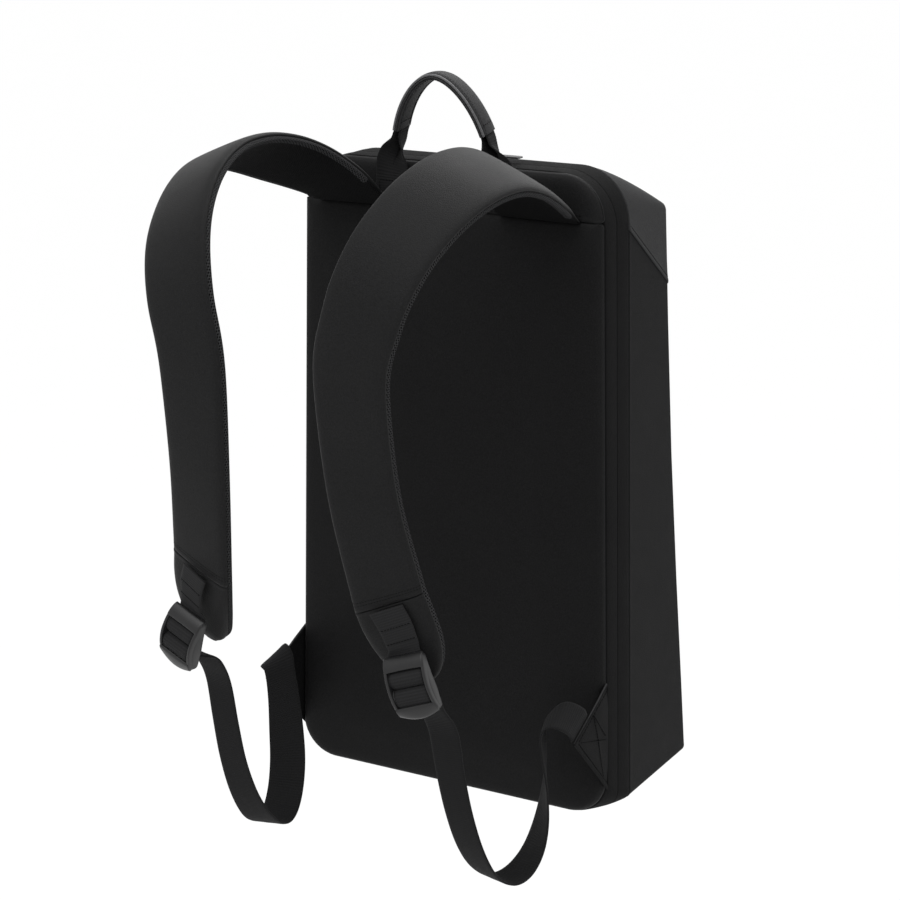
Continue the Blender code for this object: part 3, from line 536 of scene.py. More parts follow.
class Build:
    """Collects grids of quads, in millimetres, and turns them into a piece."""

    def __init__(self, *mats):
        self.mats = list(mats)
        self.verts, self.count = [], 0
        self.faces, self.uvs, self.slots = [], [], []

    def grid(self, P, mat=0, wrap=False, caps=(False, False)):
        """P[row, column] are points; with wrap the last column joins the first."""
        P = np.asarray(P, float)
        rows, cols = P.shape[:2]
        base = self.count
        self.verts.append(P.reshape(-1, 3))
        self.count += rows * cols
        run = np.linalg.norm(np.diff(P[:, cols // 2], axis=0), axis=1)
        v = np.concatenate([[0], np.cumsum(run)]) / 100
        ring = P[rows // 2]
        if wrap:
            ring = np.concatenate([ring, ring[:1]])
        u = np.concatenate([[0], np.cumsum(np.linalg.norm(np.diff(ring, axis=0), axis=1))]) / 100
        index = np.arange(rows * cols).reshape(rows, cols) + base
        last = cols if wrap else cols - 1
        for j in range(last):
            k = (j + 1) % cols
            quad = np.stack([index[:-1, j], index[:-1, k], index[1:, k], index[1:, j]], 1)
            self.faces.append(quad)
            uv = np.empty((rows - 1, 4, 2))
            uv[:, 0], uv[:, 1] = (np.stack([np.full(rows - 1, u[m]), v[:-1]], 1) for m in (j, j + 1))
            uv[:, 2], uv[:, 3] = (np.stack([np.full(rows - 1, u[m]), v[1:]], 1) for m in (j + 1, j))
            self.uvs.append(uv)
            self.slots.append(np.full(rows - 1, mat))
        for at, wanted in zip((0, rows - 1), caps):
            if wanted:
                self._cap(P[at], index[at], mat, at == 0, (u[:cols], v[at]))
        return index

    def _cap(self, ring, index, mat, first, where):
        """Closes a ring with a fan round its middle."""
        centre = self.count
        self.verts.append(ring.mean(0)[None])
        self.count += 1
        n = len(index)
        for i in range(n):
            a, b = int(index[i]), int(index[(i + 1) % n])
            face = (b, a, centre, centre) if first else (a, b, centre, centre)
            self.faces.append(np.array([face]))
            self.uvs.append(np.zeros((1, 4, 2)))
            self.slots.append(np.array([mat]))

    def tube(self, path, radius, sides=8, mat=0, closed=False, squash=None):
        path = np.asarray(path, float)
        if closed:
            along = np.roll(path, -1, 0) - np.roll(path, 1, 0)
        else:
            along = np.gradient(path, axis=0)
        along = unit(along)
        side = unit(np.cross(along, np.array([0.31, 0.17, 0.93])))
        other = np.cross(along, side)
        r = np.broadcast_to(np.asarray(radius, float), (len(path),))
        t = np.arange(sides) * 2 * math.pi / sides
        P = path[:, None] + r[:, None, None] * (
            side[:, None] * np.cos(t)[None, :, None] + other[:, None] * np.sin(t)[None, :, None]
        )
        if closed:
            P = np.concatenate([P, P[:1]])
        self.grid(P[:, ::-1], mat, wrap=True, caps=(not closed, not closed))

    def stitches(self, path, normal, pitch=2.9, length=2.1, radius=0.27, mat=1, lift=0.05, closed=False):
        """Thread segments lying along a line on the cloth."""
        path, normal = np.asarray(path, float), np.asarray(normal, float)
        if normal.ndim == 1:
            normal = np.broadcast_to(normal, path.shape)
        step = np.linalg.norm(np.diff(path, axis=0), axis=1)
        at = np.concatenate([[0], np.cumsum(step)])
        total = at[-1]
        count = max(1, int(total / pitch))
        shape = (-1.0, -0.8, -0.35, 0.35, 0.8, 1.0)
        fat = (0.15, 0.72, 1.0, 1.0, 0.72, 0.15)
        rise = (-0.42, -0.1, 0.12, 0.12, -0.1, -0.42)
        for i in range(count):
            middle = (i + 0.5) * total / count
            wobble = 0.08 * math.sin(i * 2.39) * length
            s = middle + np.array(shape) * (length / 2) + wobble * 0.3
            s = np.clip(s, 0, total)
            pts = np.stack([np.interp(s, at, path[:, k]) for k in range(3)], 1)
            nrm = unit(np.array([np.interp(middle, at, normal[:, k]) for k in range(3)]))
            pts = pts + nrm * (lift + radius * np.array(rise)[:, None] * 1.3)
            along = unit(np.gradient(pts, axis=0) + 1e-9)
            side = unit(np.cross(along, nrm))
            up = np.cross(side, along)
            t = np.arange(6) * math.pi / 3
            r = radius * np.array(fat)
            P = pts[:, None] + r[:, None, None] * (
                side[:, None] * np.cos(t)[None, :, None] * 1.15 + up[:, None] * np.sin(t)[None, :, None]
            )
            self.grid(P, mat, wrap=True, caps=(True, True))

    def piece(self, name, node=None, slot=None, body="bag", mirror=False, fill=None):
        verts = np.concatenate(self.verts) * MM
        faces = np.concatenate(self.faces).astype(np.int64)
        uvs = np.concatenate(self.uvs)
        slots = np.concatenate(self.slots)
        if mirror:
            verts = verts * np.array([-1.0, 1.0, 1.0])
            faces, uvs = faces[:, ::-1], uvs[:, ::-1]
        rows = []
        loops = []
        for face, uv in zip(faces.tolist(), uvs.tolist()):
            keep = [0]
            for m in range(1, 4):
                if face[m] != face[keep[-1]]:
                    keep.append(m)
            if face[keep[-1]] == face[0] and len(keep) > 3:
                keep = keep[:-1]
            rows.append([face[m] for m in keep])
            loops.extend(uv[m] for m in keep)
        mesh = bpy.data.meshes.new(name)
        mesh.from_pydata(verts.tolist(), [], rows)
        layer = mesh.uv_layers.new(name="UVMap")
        layer.data.foreach_set("uv", np.array(loops, np.float32).reshape(-1))
        for m in self.mats:
            mesh.materials.append(MATS[m])
        mesh.polygons.foreach_set("material_index", slots.astype(np.int32))
        mesh.polygons.foreach_set("use_smooth", np.ones(len(rows), bool))
        mesh.update()
        obj = bpy.data.objects.new(name, mesh)
        scene.collection.objects.link(obj)
        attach(obj, body)
        if node:
            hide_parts(node)
        return obj


def out_of(obj, share=1.0):
    """Turns a closed piece's faces outwards."""
    import bmesh

    bm = bmesh.new()
    bm.from_mesh(obj.data)
    bmesh.ops.recalc_face_normals(bm, faces=bm.faces)
    bm.to_mesh(obj.data)
    bm.free()
    return obj


def puff(points, faces_of, pinned, pressure, cap, count=14):
    """Swells a padded skin by cloth pressure between its pinned seams and
    returns the moved points, in millimetres."""
    shape = points.shape
    mesh = bpy.data.meshes.new("swell")
    mesh.from_pydata((points.reshape(-1, 3) * MM).tolist(), [], faces_of.tolist())
    mesh.update()
    obj = bpy.data.objects.new("swell", mesh)
    scene.collection.objects.link(obj)
    group = obj.vertex_groups.new(name="seam")
    group.add(np.flatnonzero(pinned.reshape(-1)).tolist(), 1.0, "REPLACE")
    cloth = obj.modifiers.new("swell", "CLOTH")
    s = cloth.settings
    s.quality = 5
    s.mass = 0.25
    s.tension_stiffness = s.compression_stiffness = 28.0
    s.shear_stiffness = 14.0
    s.bending_stiffness = 3.0
    s.air_damping = 2.0
    s.use_pressure = True
    s.uniform_pressure_force = pressure
    s.vertex_group_mass = "seam"
    s.effector_weights.gravity = 0.0
    cloth.point_cache.frame_start, cloth.point_cache.frame_end = 1, count
    for f in range(1, count + 1):
        scene.frame_set(f)
    moved = obj.evaluated_get(bpy.context.evaluated_depsgraph_get()).to_mesh()
    found = np.empty(len(mesh.vertices) * 3, np.float32)
    moved.vertices.foreach_get("co", found)
    shift = found.reshape(-1, 3).astype(float) / MM - points.reshape(-1, 3)
    shift = np.nan_to_num(shift)
    # even out creases finer than the cloth is thick
    lines = np.concatenate([faces_of[:, [0, 1]], faces_of[:, [1, 2]], faces_of[:, [2, 3]], faces_of[:, [3, 0]]])
    degree = np.bincount(lines.reshape(-1), minlength=len(shift))[:, None]
    fixed = pinned.reshape(-1)
    for _ in range(14):
        total = np.zeros_like(shift)
        np.add.at(total, lines[:, 0], shift[lines[:, 1]])
        np.add.at(total, lines[:, 1], shift[lines[:, 0]])
        shift = np.where(fixed[:, None], 0.0, 0.35 * shift + 0.65 * total / np.maximum(degree, 1))
    length = np.linalg.norm(shift, axis=1, keepdims=True)
    shift *= np.minimum(1.0, cap / np.maximum(length, 1e-6))
    bpy.data.objects.remove(obj, do_unlink=True)
    scene.frame_set(1)
    return (points.reshape(-1, 3) + np.nan_to_num(shift)).reshape(shape)


def quads_of(rows, cols, wrap=False):
    index = np.arange(rows * cols).reshape(rows, cols)
    right = np.roll(index, -1, 1) if wrap else index[:, 1:]
    left = index if wrap else index[:, :-1]
    return np.stack([left[:-1], right[:-1], right[1:], left[1:]], -1).reshape(-1, 4)


def hermite(rows, alongs):
    data = np.array(rows, float)
    t, values = data[:, 0], data[:, 1:]
    slope = np.zeros_like(values)
    step = np.diff(t)[:, None]
    chord = np.diff(values, axis=0) / step
    slope[1:-1] = (chord[:-1] * step[1:] + chord[1:] * step[:-1]) / (step[1:] + step[:-1])
    slope[0], slope[-1] = chord[0], chord[-1]
    alongs = np.asarray(alongs, float)
    k = np.clip(np.searchsorted(t, alongs) - 1, 0, len(t) - 2)
    h = (t[k + 1] - t[k])[:, None]
    s = ((alongs - t[k]) / h[:, 0])[:, None]
    return (
        values[k] * (2 * s**3 - 3 * s**2 + 1)
        + slope[k] * h * (s**3 - 2 * s**2 + s)
        + values[k + 1] * (-2 * s**3 + 3 * s**2)
        + slope[k + 1] * h * (s**3 - s**2)
    )


def evened(data, spacing, blur=0.0):
    """Resamples rows of two edges at even steps of their middle line."""
    middle = (data[:, 0:3] + data[:, 3:6]) / 2
    at = np.concatenate([[0], np.cumsum(np.linalg.norm(np.diff(middle, axis=0), axis=1))])
    fine = np.linspace(0, at[-1], max(4, int(round(at[-1] / spacing)) + 1))
    out = np.stack([np.interp(fine, at, data[:, k]) for k in range(data.shape[1])], 1)
    if blur > 0:
        reach = max(1, int(round(blur / spacing)))
        for _ in range(2):
            ends = out[:1] * 2 - out[reach:0:-1], out[-1:] * 2 - out[-2 : -2 - reach : -1]
            wide = np.concatenate([ends[0], out, ends[1]])
            kernel = np.hanning(2 * reach + 3)[1:-1]
            kernel /= kernel.sum()
            out = np.stack(
                [np.convolve(wide[:, k], kernel, "valid") for k in range(out.shape[1])], 1
            )
    return out


def edge_frames(data):
    inner, outer = data[:, 0:3], data[:, 3:6]
    middle = (inner + outer) / 2
    along = unit(np.gradient(middle, axis=0))
    across = unit(outer - inner)
    out = unit(np.cross(along, across))
    half = np.linalg.norm(outer - inner, axis=1) / 2
    return middle, along, across, out, half


def sections(data, section, thin=1.0):
    middle, along, across, out, half = edge_frames(data)
    share = data[:, 6] if data.shape[1] > 6 else np.ones(len(data))
    a, o = np.array(section).T
    return (
        middle[:, None]
        + across[:, None] * (half[:, None] * a[None])[..., None]
        + out[:, None] * (share[:, None] * o[None] * thin)[..., None]
    )


def half_width(z):
    share = (TOP_Z - z) / (TOP_Z - BASE_Z)
    return HALF_TOP + (HALF_BASE - HALF_TOP) * share


def base_radius(y):
    return float(np.interp(y, [r[0] for r in BASE_CORNERS], [r[1] for r in BASE_CORNERS]))


def front_edge_y(z):
    table = sorted(FRONT_EDGE)
    return np.interp(z, [r[0] for r in table], [r[1] for r in table])


def outline(top, base, top_r, base_r, inset=0.0, arc=18, sides=46, ends=30):
    """The bag's rounded outline as (x, z) rows, clockwise from the straps."""
    top, base = top - inset, base + inset
    top_r, base_r = max(top_r - inset, 0.8), max(base_r - inset, 0.8)
    room = min(1.0, 0.94 * (top - base) / (top_r + base_r))
    top_r, base_r = top_r * room, base_r * room
    a = np.radians(90.0 * (1 - np.arange(arc + 1) / arc))
    z = top - top_r + top_r * np.sin(a)
    parts = [np.stack([half_width(z) - inset - top_r * (1 - np.cos(a)), z], 1)]
    low, high = base + base_r, top - top_r
    z = high + (low - high) * np.arange(1, sides) / sides
    parts.append(np.stack([half_width(z) - inset, z], 1))
    a = np.radians(90.0 * np.arange(arc + 1) / arc)
    z = base + base_r - base_r * np.sin(a)
    parts.append(np.stack([half_width(z) - inset - base_r * (1 - np.cos(a)), z], 1))
    right = np.concatenate(parts)
    left = right[::-1] * np.array([-1.0, 1.0])
    share = np.arange(1, ends) / ends
    across = np.stack([right[-1, 0] * (1 - 2 * share), np.full(ends - 1, right[-1, 1])], 1)
    back = np.stack([left[-1, 0] * (1 - 2 * share), np.full(ends - 1, left[-1, 1])], 1)
    return np.concatenate([right, across, left, back])


def outward(shape):
    """Unit normals out of a closed outline."""
    along = np.roll(shape, -1, 0) - np.roll(shape, 1, 0)
    return unit(np.stack([-along[:, 1], along[:, 0]], 1))


# --------------------------------------------------------- panel and yoke
def half_at(z, top, base, top_r, base_r):
    """Half width of a rounded panel at each height."""
    w = half_width(z)
    high = np.clip((z - (top - top_r)) / top_r, 0, 1)
    low = np.clip(((base + base_r) - z) / base_r, 0, 1)
    return w - top_r * (1 - np.sqrt(1 - high**2)) - base_r * (1 - np.sqrt(1 - low**2))


def inset_of(x, z, top, base, top_r, base_r):
    """Distance in from the outline of a rounded panel."""
    side = half_width(z) - np.abs(x)
    found = np.minimum(side, np.minimum(top - z, z - base))
    for edge, r, sign in ((top, top_r, 1.0), (base, base_r, -1.0)):
        cx = half_width(edge) - r
        cz = edge - sign * r
        dx, dz = np.abs(x) - cx, (z - cz) * sign
        corner = (dx > 0) & (dz > 0)
        found = np.where(corner, r - np.hypot(np.maximum(dx, 0), np.maximum(dz, 0)), found)
    return np.maximum(found, 0.0)


def near_ends(low, high, close, middle):
    """Positions between two ends, crowded towards both."""
    total = high - low
    near = [d for d in close if d < total * 0.45]
    span = total - 2 * near[-1]
    count = max(2, int(round(span / middle)))
    mid = [near[-1] + span * i / count for i in range(1, count)]
    return np.array([low + d for d in near] + [low + d for d in mid] + [high - d for d in reversed(near)])


CLOSE = (0.0, 0.08, 0.25, 0.5, 0.9, 1.4, 2.0, 2.8, 3.8, 5.0, 6.5, 8.5, 11.0, 14.0)


PANEL_SEAM = ((0.0, 4.3), (0.25, 4.9), (0.8, 5.6), (1.8, 6.2), (4.0, 7.0), (8.0, 8.0), (16.0, 9.2), (40.0, 12.0))
YOKE_SEAM = ((0.0, 4.3), (0.25, 4.8), (0.8, 5.3), (1.8, 5.7), (4.0, 6.0), (10.0, 6.4), (40.0, 7.0))


def pillow(top, base, top_r, base_r, pad, pressure, cap, scale, shared):
    """A padded panel sewn along its outline: a grid over the rounded shape."""
    zs = near_ends(base, top, CLOSE + (18.0, 22.0, 26.0, 30.0), 5.0)
    us = near_ends(-1.0, 1.0, tuple(d / 120.0 for d in CLOSE), 5.0 / 120.0)
    Z = np.repeat(zs[:, None], len(us), 1)
    W = half_at(Z, top, base, top_r, base_r)
    X = W * us[None]
    # the seam that the panel and the yoke share stays shallow
    inset = inset_of(X, Z, top + 60.0 * (shared > 0), base - 60.0 * (shared < 0), top_r, base_r)
    inset[:, 0], inset[:, -1] = 0, 0
    if shared < 0:
        inset[-1] = 0
    else:
        inset[0] = 0
    rows = np.array(pad)
    proud = np.interp(inset, rows[:, 0], rows[:, 1]) * np.where(inset > 1, scale, 1)
    off = top - Z if shared > 0 else Z - base
    seam = np.array(PANEL_SEAM if shared > 0 else YOKE_SEAM)
    proud = np.minimum(proud, np.interp(off, seam[:, 0], seam[:, 1]))
    inset = np.minimum(inset, off)
    P = np.stack([X, SEAM_Y - proud, Z], -1)
    pinned = inset < 3.0
    P = puff(P, quads_of(*P.shape[:2]), pinned, pressure, cap)
    return P, inset


def rim_of(P):
    """The closed rim of a grid, once round."""
    return np.concatenate([P[0, :-1], P[:-1, -1], P[-1, :0:-1], P[:0:-1, 0]])


panel_args = (YOKE_Z - GAP / 2, BASE_Z, 3.0, base_radius(SEAM_Y))
yoke_args = (TOP_Z, YOKE_Z + GAP / 2, CORNER_R * 0.8, 2.0)
for name, node, slot, mat, args, pad, shared in (
    ("back_panel_padded", "back_panel", "panel_fabric", "panel", panel_args, BACK_PAD, 1),
    ("yoke_padded", "yoke_panel", "yoke_fabric", "yoke", yoke_args, YOKE_PAD, -1),
):
    P, _ = pillow(*args, pad, 2.5, 1.4, 0.94, shared)
    b = Build(mat, "thread")
    b.grid(P, 0)
    rim = rim_of(P)
    behind = rim.copy()
    behind[:, 1] = SEAM_Y + 0.6
    middle = behind.mean(0)
    b.grid(np.stack([rim, behind]), 0, wrap=True)
    b.grid(np.stack([behind, middle + (behind - middle) * 0.93]), 0, wrap=True)
    if node == "yoke_panel":
        # double stitching along the lower seam of the yoke
        for up in (2.2, 4.6):
            xs = np.linspace(-104.0, 104.0, 200)
            z = YOKE_Z + up
            y = SEAM_Y - np.interp(up, [r[0] for r in YOKE_SEAM], [r[1] for r in YOKE_SEAM]) + 0.1
            line = np.stack([xs, np.full_like(xs, y), np.full_like(xs, z)], 1)
            b.stitches(line, np.array([0.0, -1.0, 0.35]), 2.7, 1.9, 0.24, 1, 0.0)
    b.piece(name, node, slot, fill=0.75)

# ------------------------------------------------------------------ gussets
# distance along the band from its seam, how far it stands out of the outline
REAR_BAND = (
    (0.0, -1.6), (0.04, -0.5), (0.12, 0.0), (0.3, 0.35), (0.6, 0.55), (1.2, 0.72), (2.2, 0.82),
    (4.0, 0.92), (6.0, 0.98), (9.0, 1.0), (12.0, 0.96), (14.5, 0.88), (16.0, 0.84), (16.9, 0.80),
    (17.4, 0.75), (17.65, 0.66), (17.8, 0.5), (17.88, 0.25), (17.9, -0.6),
)
def band_piece(name, node, y0, way, b, cord_at, stitch_at):
    shapes = {}
    rings = []
    for along, stand in REAR_BAND:
        y = y0 + way * along * (1.0 if way > 0 else 1.103)
        key = round(base_radius(y), 4)
        if key not in shapes:
            shape = outline(TOP_Z, BASE_Z, CORNER_R, base_radius(y))
            shapes[key] = (shape, outward(shape))
        shape, out = shapes[key]
        at = shape + out * stand
        rings.append(np.stack([at[:, 0], np.full(len(at), y), at[:, 1]], 1))
    P = np.stack(rings)
    if way < 0:
        P = P[::-1]
    b.grid(P, 0, wrap=True)
    for along, stand in stitch_at:
        y = y0 + way * along
        shape = outline(TOP_Z, BASE_Z, CORNER_R, base_radius(y))
        at = shape + outward(shape) * stand
        line = np.stack([at[:, 0], np.full(len(at), y), at[:, 1]], 1)
        n = outward(shape)
        normal = np.stack([n[:, 0], np.zeros(len(n)), n[:, 1]], 1)
        b.stitches(np.concatenate([line, line[:1]]), np.concatenate([normal, normal[:1]]), 2.6, 1.85, 0.22, 1, 0.0)
    for along, stand, radius in cord_at:
        y = y0 + way * along
        shape = outline(TOP_Z, BASE_Z, CORNER_R, base_radius(y))
        at = shape + outward(shape) * stand
        b.tube(np.stack([at[:, 0], np.full(len(at), y), at[:, 1]], 1), radius, 8, 0, closed=True)
    return b.piece(name, node, "gusset_fabric")


band_piece("gusset_rear_cloth", "gusset_rear", SEAM_Y + 0.15, 1.0, Build("gusset", "thread"),
           (), ())
band_piece("gusset_front_cloth", "gusset_front", SHELL_Y - 0.15, -1.0, Build("gusset", "thread"),
           (), ())

# zip coil: a ribbed run that fills the slit
def zip_piece():
    shape = outline(TOP_Z, BASE_Z, CORNER_R, base_radius(ZIP_Y), 0.0, 24, 60, 40)
    out = outward(shape)
    closed = np.concatenate([shape, shape[:1]])
    outc = np.concatenate([out, out[:1]])
    at = np.concatenate([[0], np.cumsum(np.linalg.norm(np.diff(closed, axis=0), axis=1))])
    count = int(at[-1] / 1.5) * 4
    s = np.linspace(0, at[-1], count, endpoint=False)
    x, z = np.interp(s, at, closed[:, 0]), np.interp(s, at, closed[:, 1])
    n = unit(np.stack([np.interp(s, at, outc[:, 0]), np.interp(s, at, outc[:, 1])], 1))
    phase = np.arange(count) * (math.pi / 2)
    stand = -0.15 + 0.10 * np.cos(phase)
    b = Build("coil")
    section = ((-1.1, -1.0), (-1.0, 0.0), (-0.5, 0.3), (0.0, -0.12), (0.5, 0.3), (1.0, 0.0), (1.1, -1.0))
    P = []
    for across, lift in section:
        side = np.sign(across)
        tall = stand + lift * (1.0 if lift <= 0 else 1.0 + 0.5 * np.cos(phase + side * 0.5 * math.pi))
        p = np.stack([x + n[:, 0] * tall, np.full(count, ZIP_Y + across), z + n[:, 1] * tall], 1)
        P.append(p)
    P = np.stack(P, 1)
    P = np.concatenate([P, P[:1]])
    b.grid(P, 0)
    return b.piece("zip_coil_run", "zip_chain", "zip_coil")


zip_piece()

# ------------------------------------------------------------------- shells
SEAM_RUN = np.array([0.0, SEAM_FRONT[0] - SEAM_REAR[0], SEAM_FRONT[1] - SEAM_REAR[1]])
SEAM_UP = unit(np.array([0.0, -SEAM_RUN[2], SEAM_RUN[1]]))
SEAM_AT = np.array([0.0, SEAM_REAR[0], SEAM_REAR[1]])


def shell_shape(share, inset):
    top = TOP_Z + (FRONT_TOP_Z - TOP_Z) * share**1.15
    radius = CORNER_R + (FRONT_CORNER_R - CORNER_R) * min(1.0, share * 1.02) ** 0.8
    return outline(top, BASE_Z, radius, base_radius(SHELL_Y), inset)


def shell_rings():
    rings = []
    shares = [0.0, 0.0, 0.004, 0.012, 0.03] + [0.03 + 0.94 * i / 30 for i in range(1, 31)]
    stands = [-1.6, -0.1, 0.5, 0.75, 0.55] + [0.5 * (1 - i / 30) for i in range(1, 31)]
    for share, stand in zip(shares, stands):
        shape = shell_shape(share, 0.0)
        sag = 1.1 * math.sin(math.pi * share) * np.sin(
            np.clip((TOP_Z - shape[:, 1]) / (TOP_Z - BASE_Z), 0, 1) * math.pi
        )
        flat = shape + outward(shape) * (stand + 0.0 * sag[:, None])
        y = SHELL_Y + GAP / 2 + (front_edge_y(shape[:, 1]) - SHELL_Y) * share
        rings.append(np.stack([flat[:, 0], y, flat[:, 1]], 1))
    for t in np.radians(np.linspace(10, 90, 6)):
        r = 2.2
        shape = outline(FRONT_TOP_Z, BASE_Z, FRONT_CORNER_R, FRONT_CORNER_R, r * (1 - math.cos(t)))
        y = front_edge_y(shape[:, 1]) - r + (r + 0.9) * math.sin(t)
        rings.append(np.stack([shape[:, 0], y, shape[:, 1]], 1))
    for inset, rise in ((4.0, 1.5), (7.0, 2.1), (12.0, 2.6), (24.0, 3.2), (45.0, 3.8), (70.0, 4.2), (100.0, 4.4)):
        shape = outline(FRONT_TOP_Z, BASE_Z, FRONT_CORNER_R, FRONT_CORNER_R, inset)
        rings.append(np.stack([shape[:, 0], front_edge_y(shape[:, 1]) + rise, shape[:, 1]], 1))
    return np.stack(rings)


def shell_half(name, node, mat, upper):
    """The outer surface on one side of the diagonal seam, with its hem."""
    import bmesh

    P = shell_rings()
    b = Build(mat, "thread")
    b.grid(P, 0, wrap=True, caps=(False, True))
    obj = b.piece(name, node, "shell_fabric")
    mesh = obj.data
    bm = bmesh.new()
    bm.from_mesh(mesh)
    # rows beside the seam, so that the hem can stand proud
    offsets = (0.0, 0.5, 1.2, 2.2, 3.0, 3.4, 4.2) if upper else (2.0,)
    for off in offsets:
        sign = 1.0 if upper else -1.0
        at = (SEAM_AT + SEAM_UP * (off * (1.0 if upper else 1.0))) * MM
        geom = bm.verts[:] + bm.edges[:] + bm.faces[:]
        cut = off == 0.0 or not upper
        bmesh.ops.bisect_plane(
            bm, geom=geom, plane_co=at, plane_no=SEAM_UP,
            clear_inner=upper and cut, clear_outer=(not upper) and cut,
        )
        del sign
    bm.normal_update()
    if upper:
        for v in bm.verts:
            d = (np.array(v.co) / MM - SEAM_AT) @ SEAM_UP
            if d < 8.0:
                lift = float(np.interp(d, [0, 0.5, 1.2, 2.2, 3.0, 3.4, 4.2, 8.0],
                                       [0.45, 0.75, 0.8, 0.7, 0.35, 0.45, 0.35, 0.0]))
                v.co += v.normal * (lift * MM)
        # turn the hem in
        rim = [e for e in bm.edges if e.is_boundary and all(
            abs((np.array(v.co) / MM - SEAM_AT) @ SEAM_UP) < 0.9 for v in e.verts)]
        made = bmesh.ops.extrude_edge_only(bm, edges=rim)
        for v in [g for g in made["geom"] if isinstance(g, bmesh.types.BMVert)]:
            v.co -= v.normal * (1.3 * MM) if v.normal.length > 0 else Vector((0.001, 0, 0)) * 0
    bm.to_mesh(mesh)
    bm.free()
    return obj


# the upper half wears the lighter copy of the shell cloth, painted light
shell_half("shell_upper_cloth", "front_shell_upper", "shell_top", True)
shell_half("shell_lower_cloth", "front_shell_lower", "shell", False)

# stitching beside the diagonal seam, on both side walls
def side_point(y, z):
    """The right wall of the shell at a given depth and height."""
    best = None
    share = np.clip((y - SHELL_Y) / (front_edge_y(z) - SHELL_Y), 0, 1)
    top = TOP_Z + (FRONT_TOP_Z - TOP_Z) * share**1.15
    radius = CORNER_R + (FRONT_CORNER_R - CORNER_R) * np.minimum(1.0, share * 1.02) ** 0.8
    over = np.clip((z - (top - radius)) / radius, 0, 0.999)
    x = half_width(z) - radius * (1 - np.sqrt(1 - over**2))
    del best
    return np.stack([x + 0.5 * (1 - share), y, z], -1)


seam_thread = Build("thread", "thread")
for off in (3.2,):
    ys = np.linspace(SEAM_REAR[0] + 1.5, SEAM_FRONT[0] - 1.0, 60)
    zs = SEAM_AT[2] + (ys - SEAM_AT[1]) * SEAM_RUN[2] / SEAM_RUN[1] + off / SEAM_UP[2]
    line = side_point(ys, zs)
    normal = np.array([1.0, 0.0, 0.25])
    line[:, 0] += 0.45
    for side in (1.0, -1.0):
        seam_thread.stitches(line * np.array([side, 1, 1]), normal * np.array([side, 1, 1]), 2.5, 1.8, 0.26, 1, 0.0)
seam_thread.piece("shell_seam_stitching", None, "shell_fabric")

# -------------------------------------------------------------------- straps
strap_line = hermite(STRAP_ROWS, np.linspace(-0.03, 1.0, 700))
strap_line = evened(strap_line, 2.0, 9.0)
end_line = hermite(STRAP_END_ROWS, np.linspace(1.0, 1.9, 120))
end_line = evened(end_line, 1.2, 3.0)
end_line[0] = strap_line[-1]


def smooth_section(section, count):
    rows = np.array(section, float)
    at = np.concatenate([[0], np.cumsum(np.hypot(*(np.diff(rows, axis=0) * np.array([25.0, 1.0])).T))])
    fine = []
    for k in range(len(rows) - 1):
        fine += [at[k] + (at[k + 1] - at[k]) * i / count for i in range(count)]
    fine.append(at[-1])
    return hermite([(t, *r) for t, r in zip(at, rows)], fine)


pad_section = smooth_section(PAD_SECTION, 2)
mesh_section = smooth_section(MESH_SECTION, 2)


def closed_pad(P):
    """A section that is closed underneath."""
    under = P[:, -1:] * 0.6 + P[:, :1] * 0.4, P[:, -1:] * 0.25 + P[:, :1] * 0.75
    return np.concatenate([P, *under], 1)


def creases(data, P, depth):
    """Running distance along the middle column of a strap's sections."""
    run = np.concatenate([[0], np.cumsum(np.linalg.norm(np.diff(P[:, P.shape[1] // 2], axis=0), axis=1))])
    return run


P = sections(strap_line, pad_section)
cols = P.shape[1]
across_share = np.broadcast_to(np.abs(np.linspace(-1, 1, cols))[None], P.shape[:2])
pinned = across_share > 0.80
pinned = pinned.copy()
pinned[:3], pinned[-3:] = True, True
P = puff(P, quads_of(*P.shape[:2]), pinned, 1.2, 0.9, 10)
strap_top = P
middle, along, across, out, half = edge_frames(strap_line)
for mirror, side in ((False, "right"), (True, "left")):
    b = Build("strap", "thread")
    b.grid(closed_pad(strap_top), 0, wrap=True, caps=(True, True))
    # hem stitches beside the lower seam
    for back in (3, 5):
        row = strap_top[-1 - back // 2 - 1]
        b.stitches(row[10:-10], out[-3], 2.0, 1.7, 0.15, 1, -0.02)
    b.piece("strap_pad_cloth_" + side, "strap_pad_" + side, "strap_fabric", mirror=mirror, fill=0.7)

P_end = sections(end_line, pad_section, 0.93)
taper = []
for t in np.radians((25, 50, 72, 86)):
    ring = P_end[-1]
    centre = ring.mean(0)
    mid, alo, acr, ou, hf = (v[-1] for v in edge_frames(end_line))
    rel = ring - centre
    flat = (rel @ acr)[:, None] * acr * math.cos(t) ** 0.8 + (rel @ ou)[:, None] * ou * math.cos(t)
    taper.append(centre + flat + alo * (1.6 * math.sin(t)))
P_end = np.concatenate([P_end, np.stack(taper)])
# a turned hem stands up where the end piece starts
lift = np.interp(np.arange(len(P_end)), [0, 1, 2, 3, 5], [0.35, 0.5, 0.35, 0.05, 0.0])
end_frame = edge_frames(end_line)
outs = np.concatenate([end_frame[3], np.repeat(end_frame[3][-1:], 4, 0)])
P_end = P_end + outs[:, None] * (lift[:, None, None] * 0.9)
first_way = unit(end_line[1, :3] + end_line[1, 3:6] - end_line[0, :3] - end_line[0, 3:6])
P_end[0] += first_way * 0.6

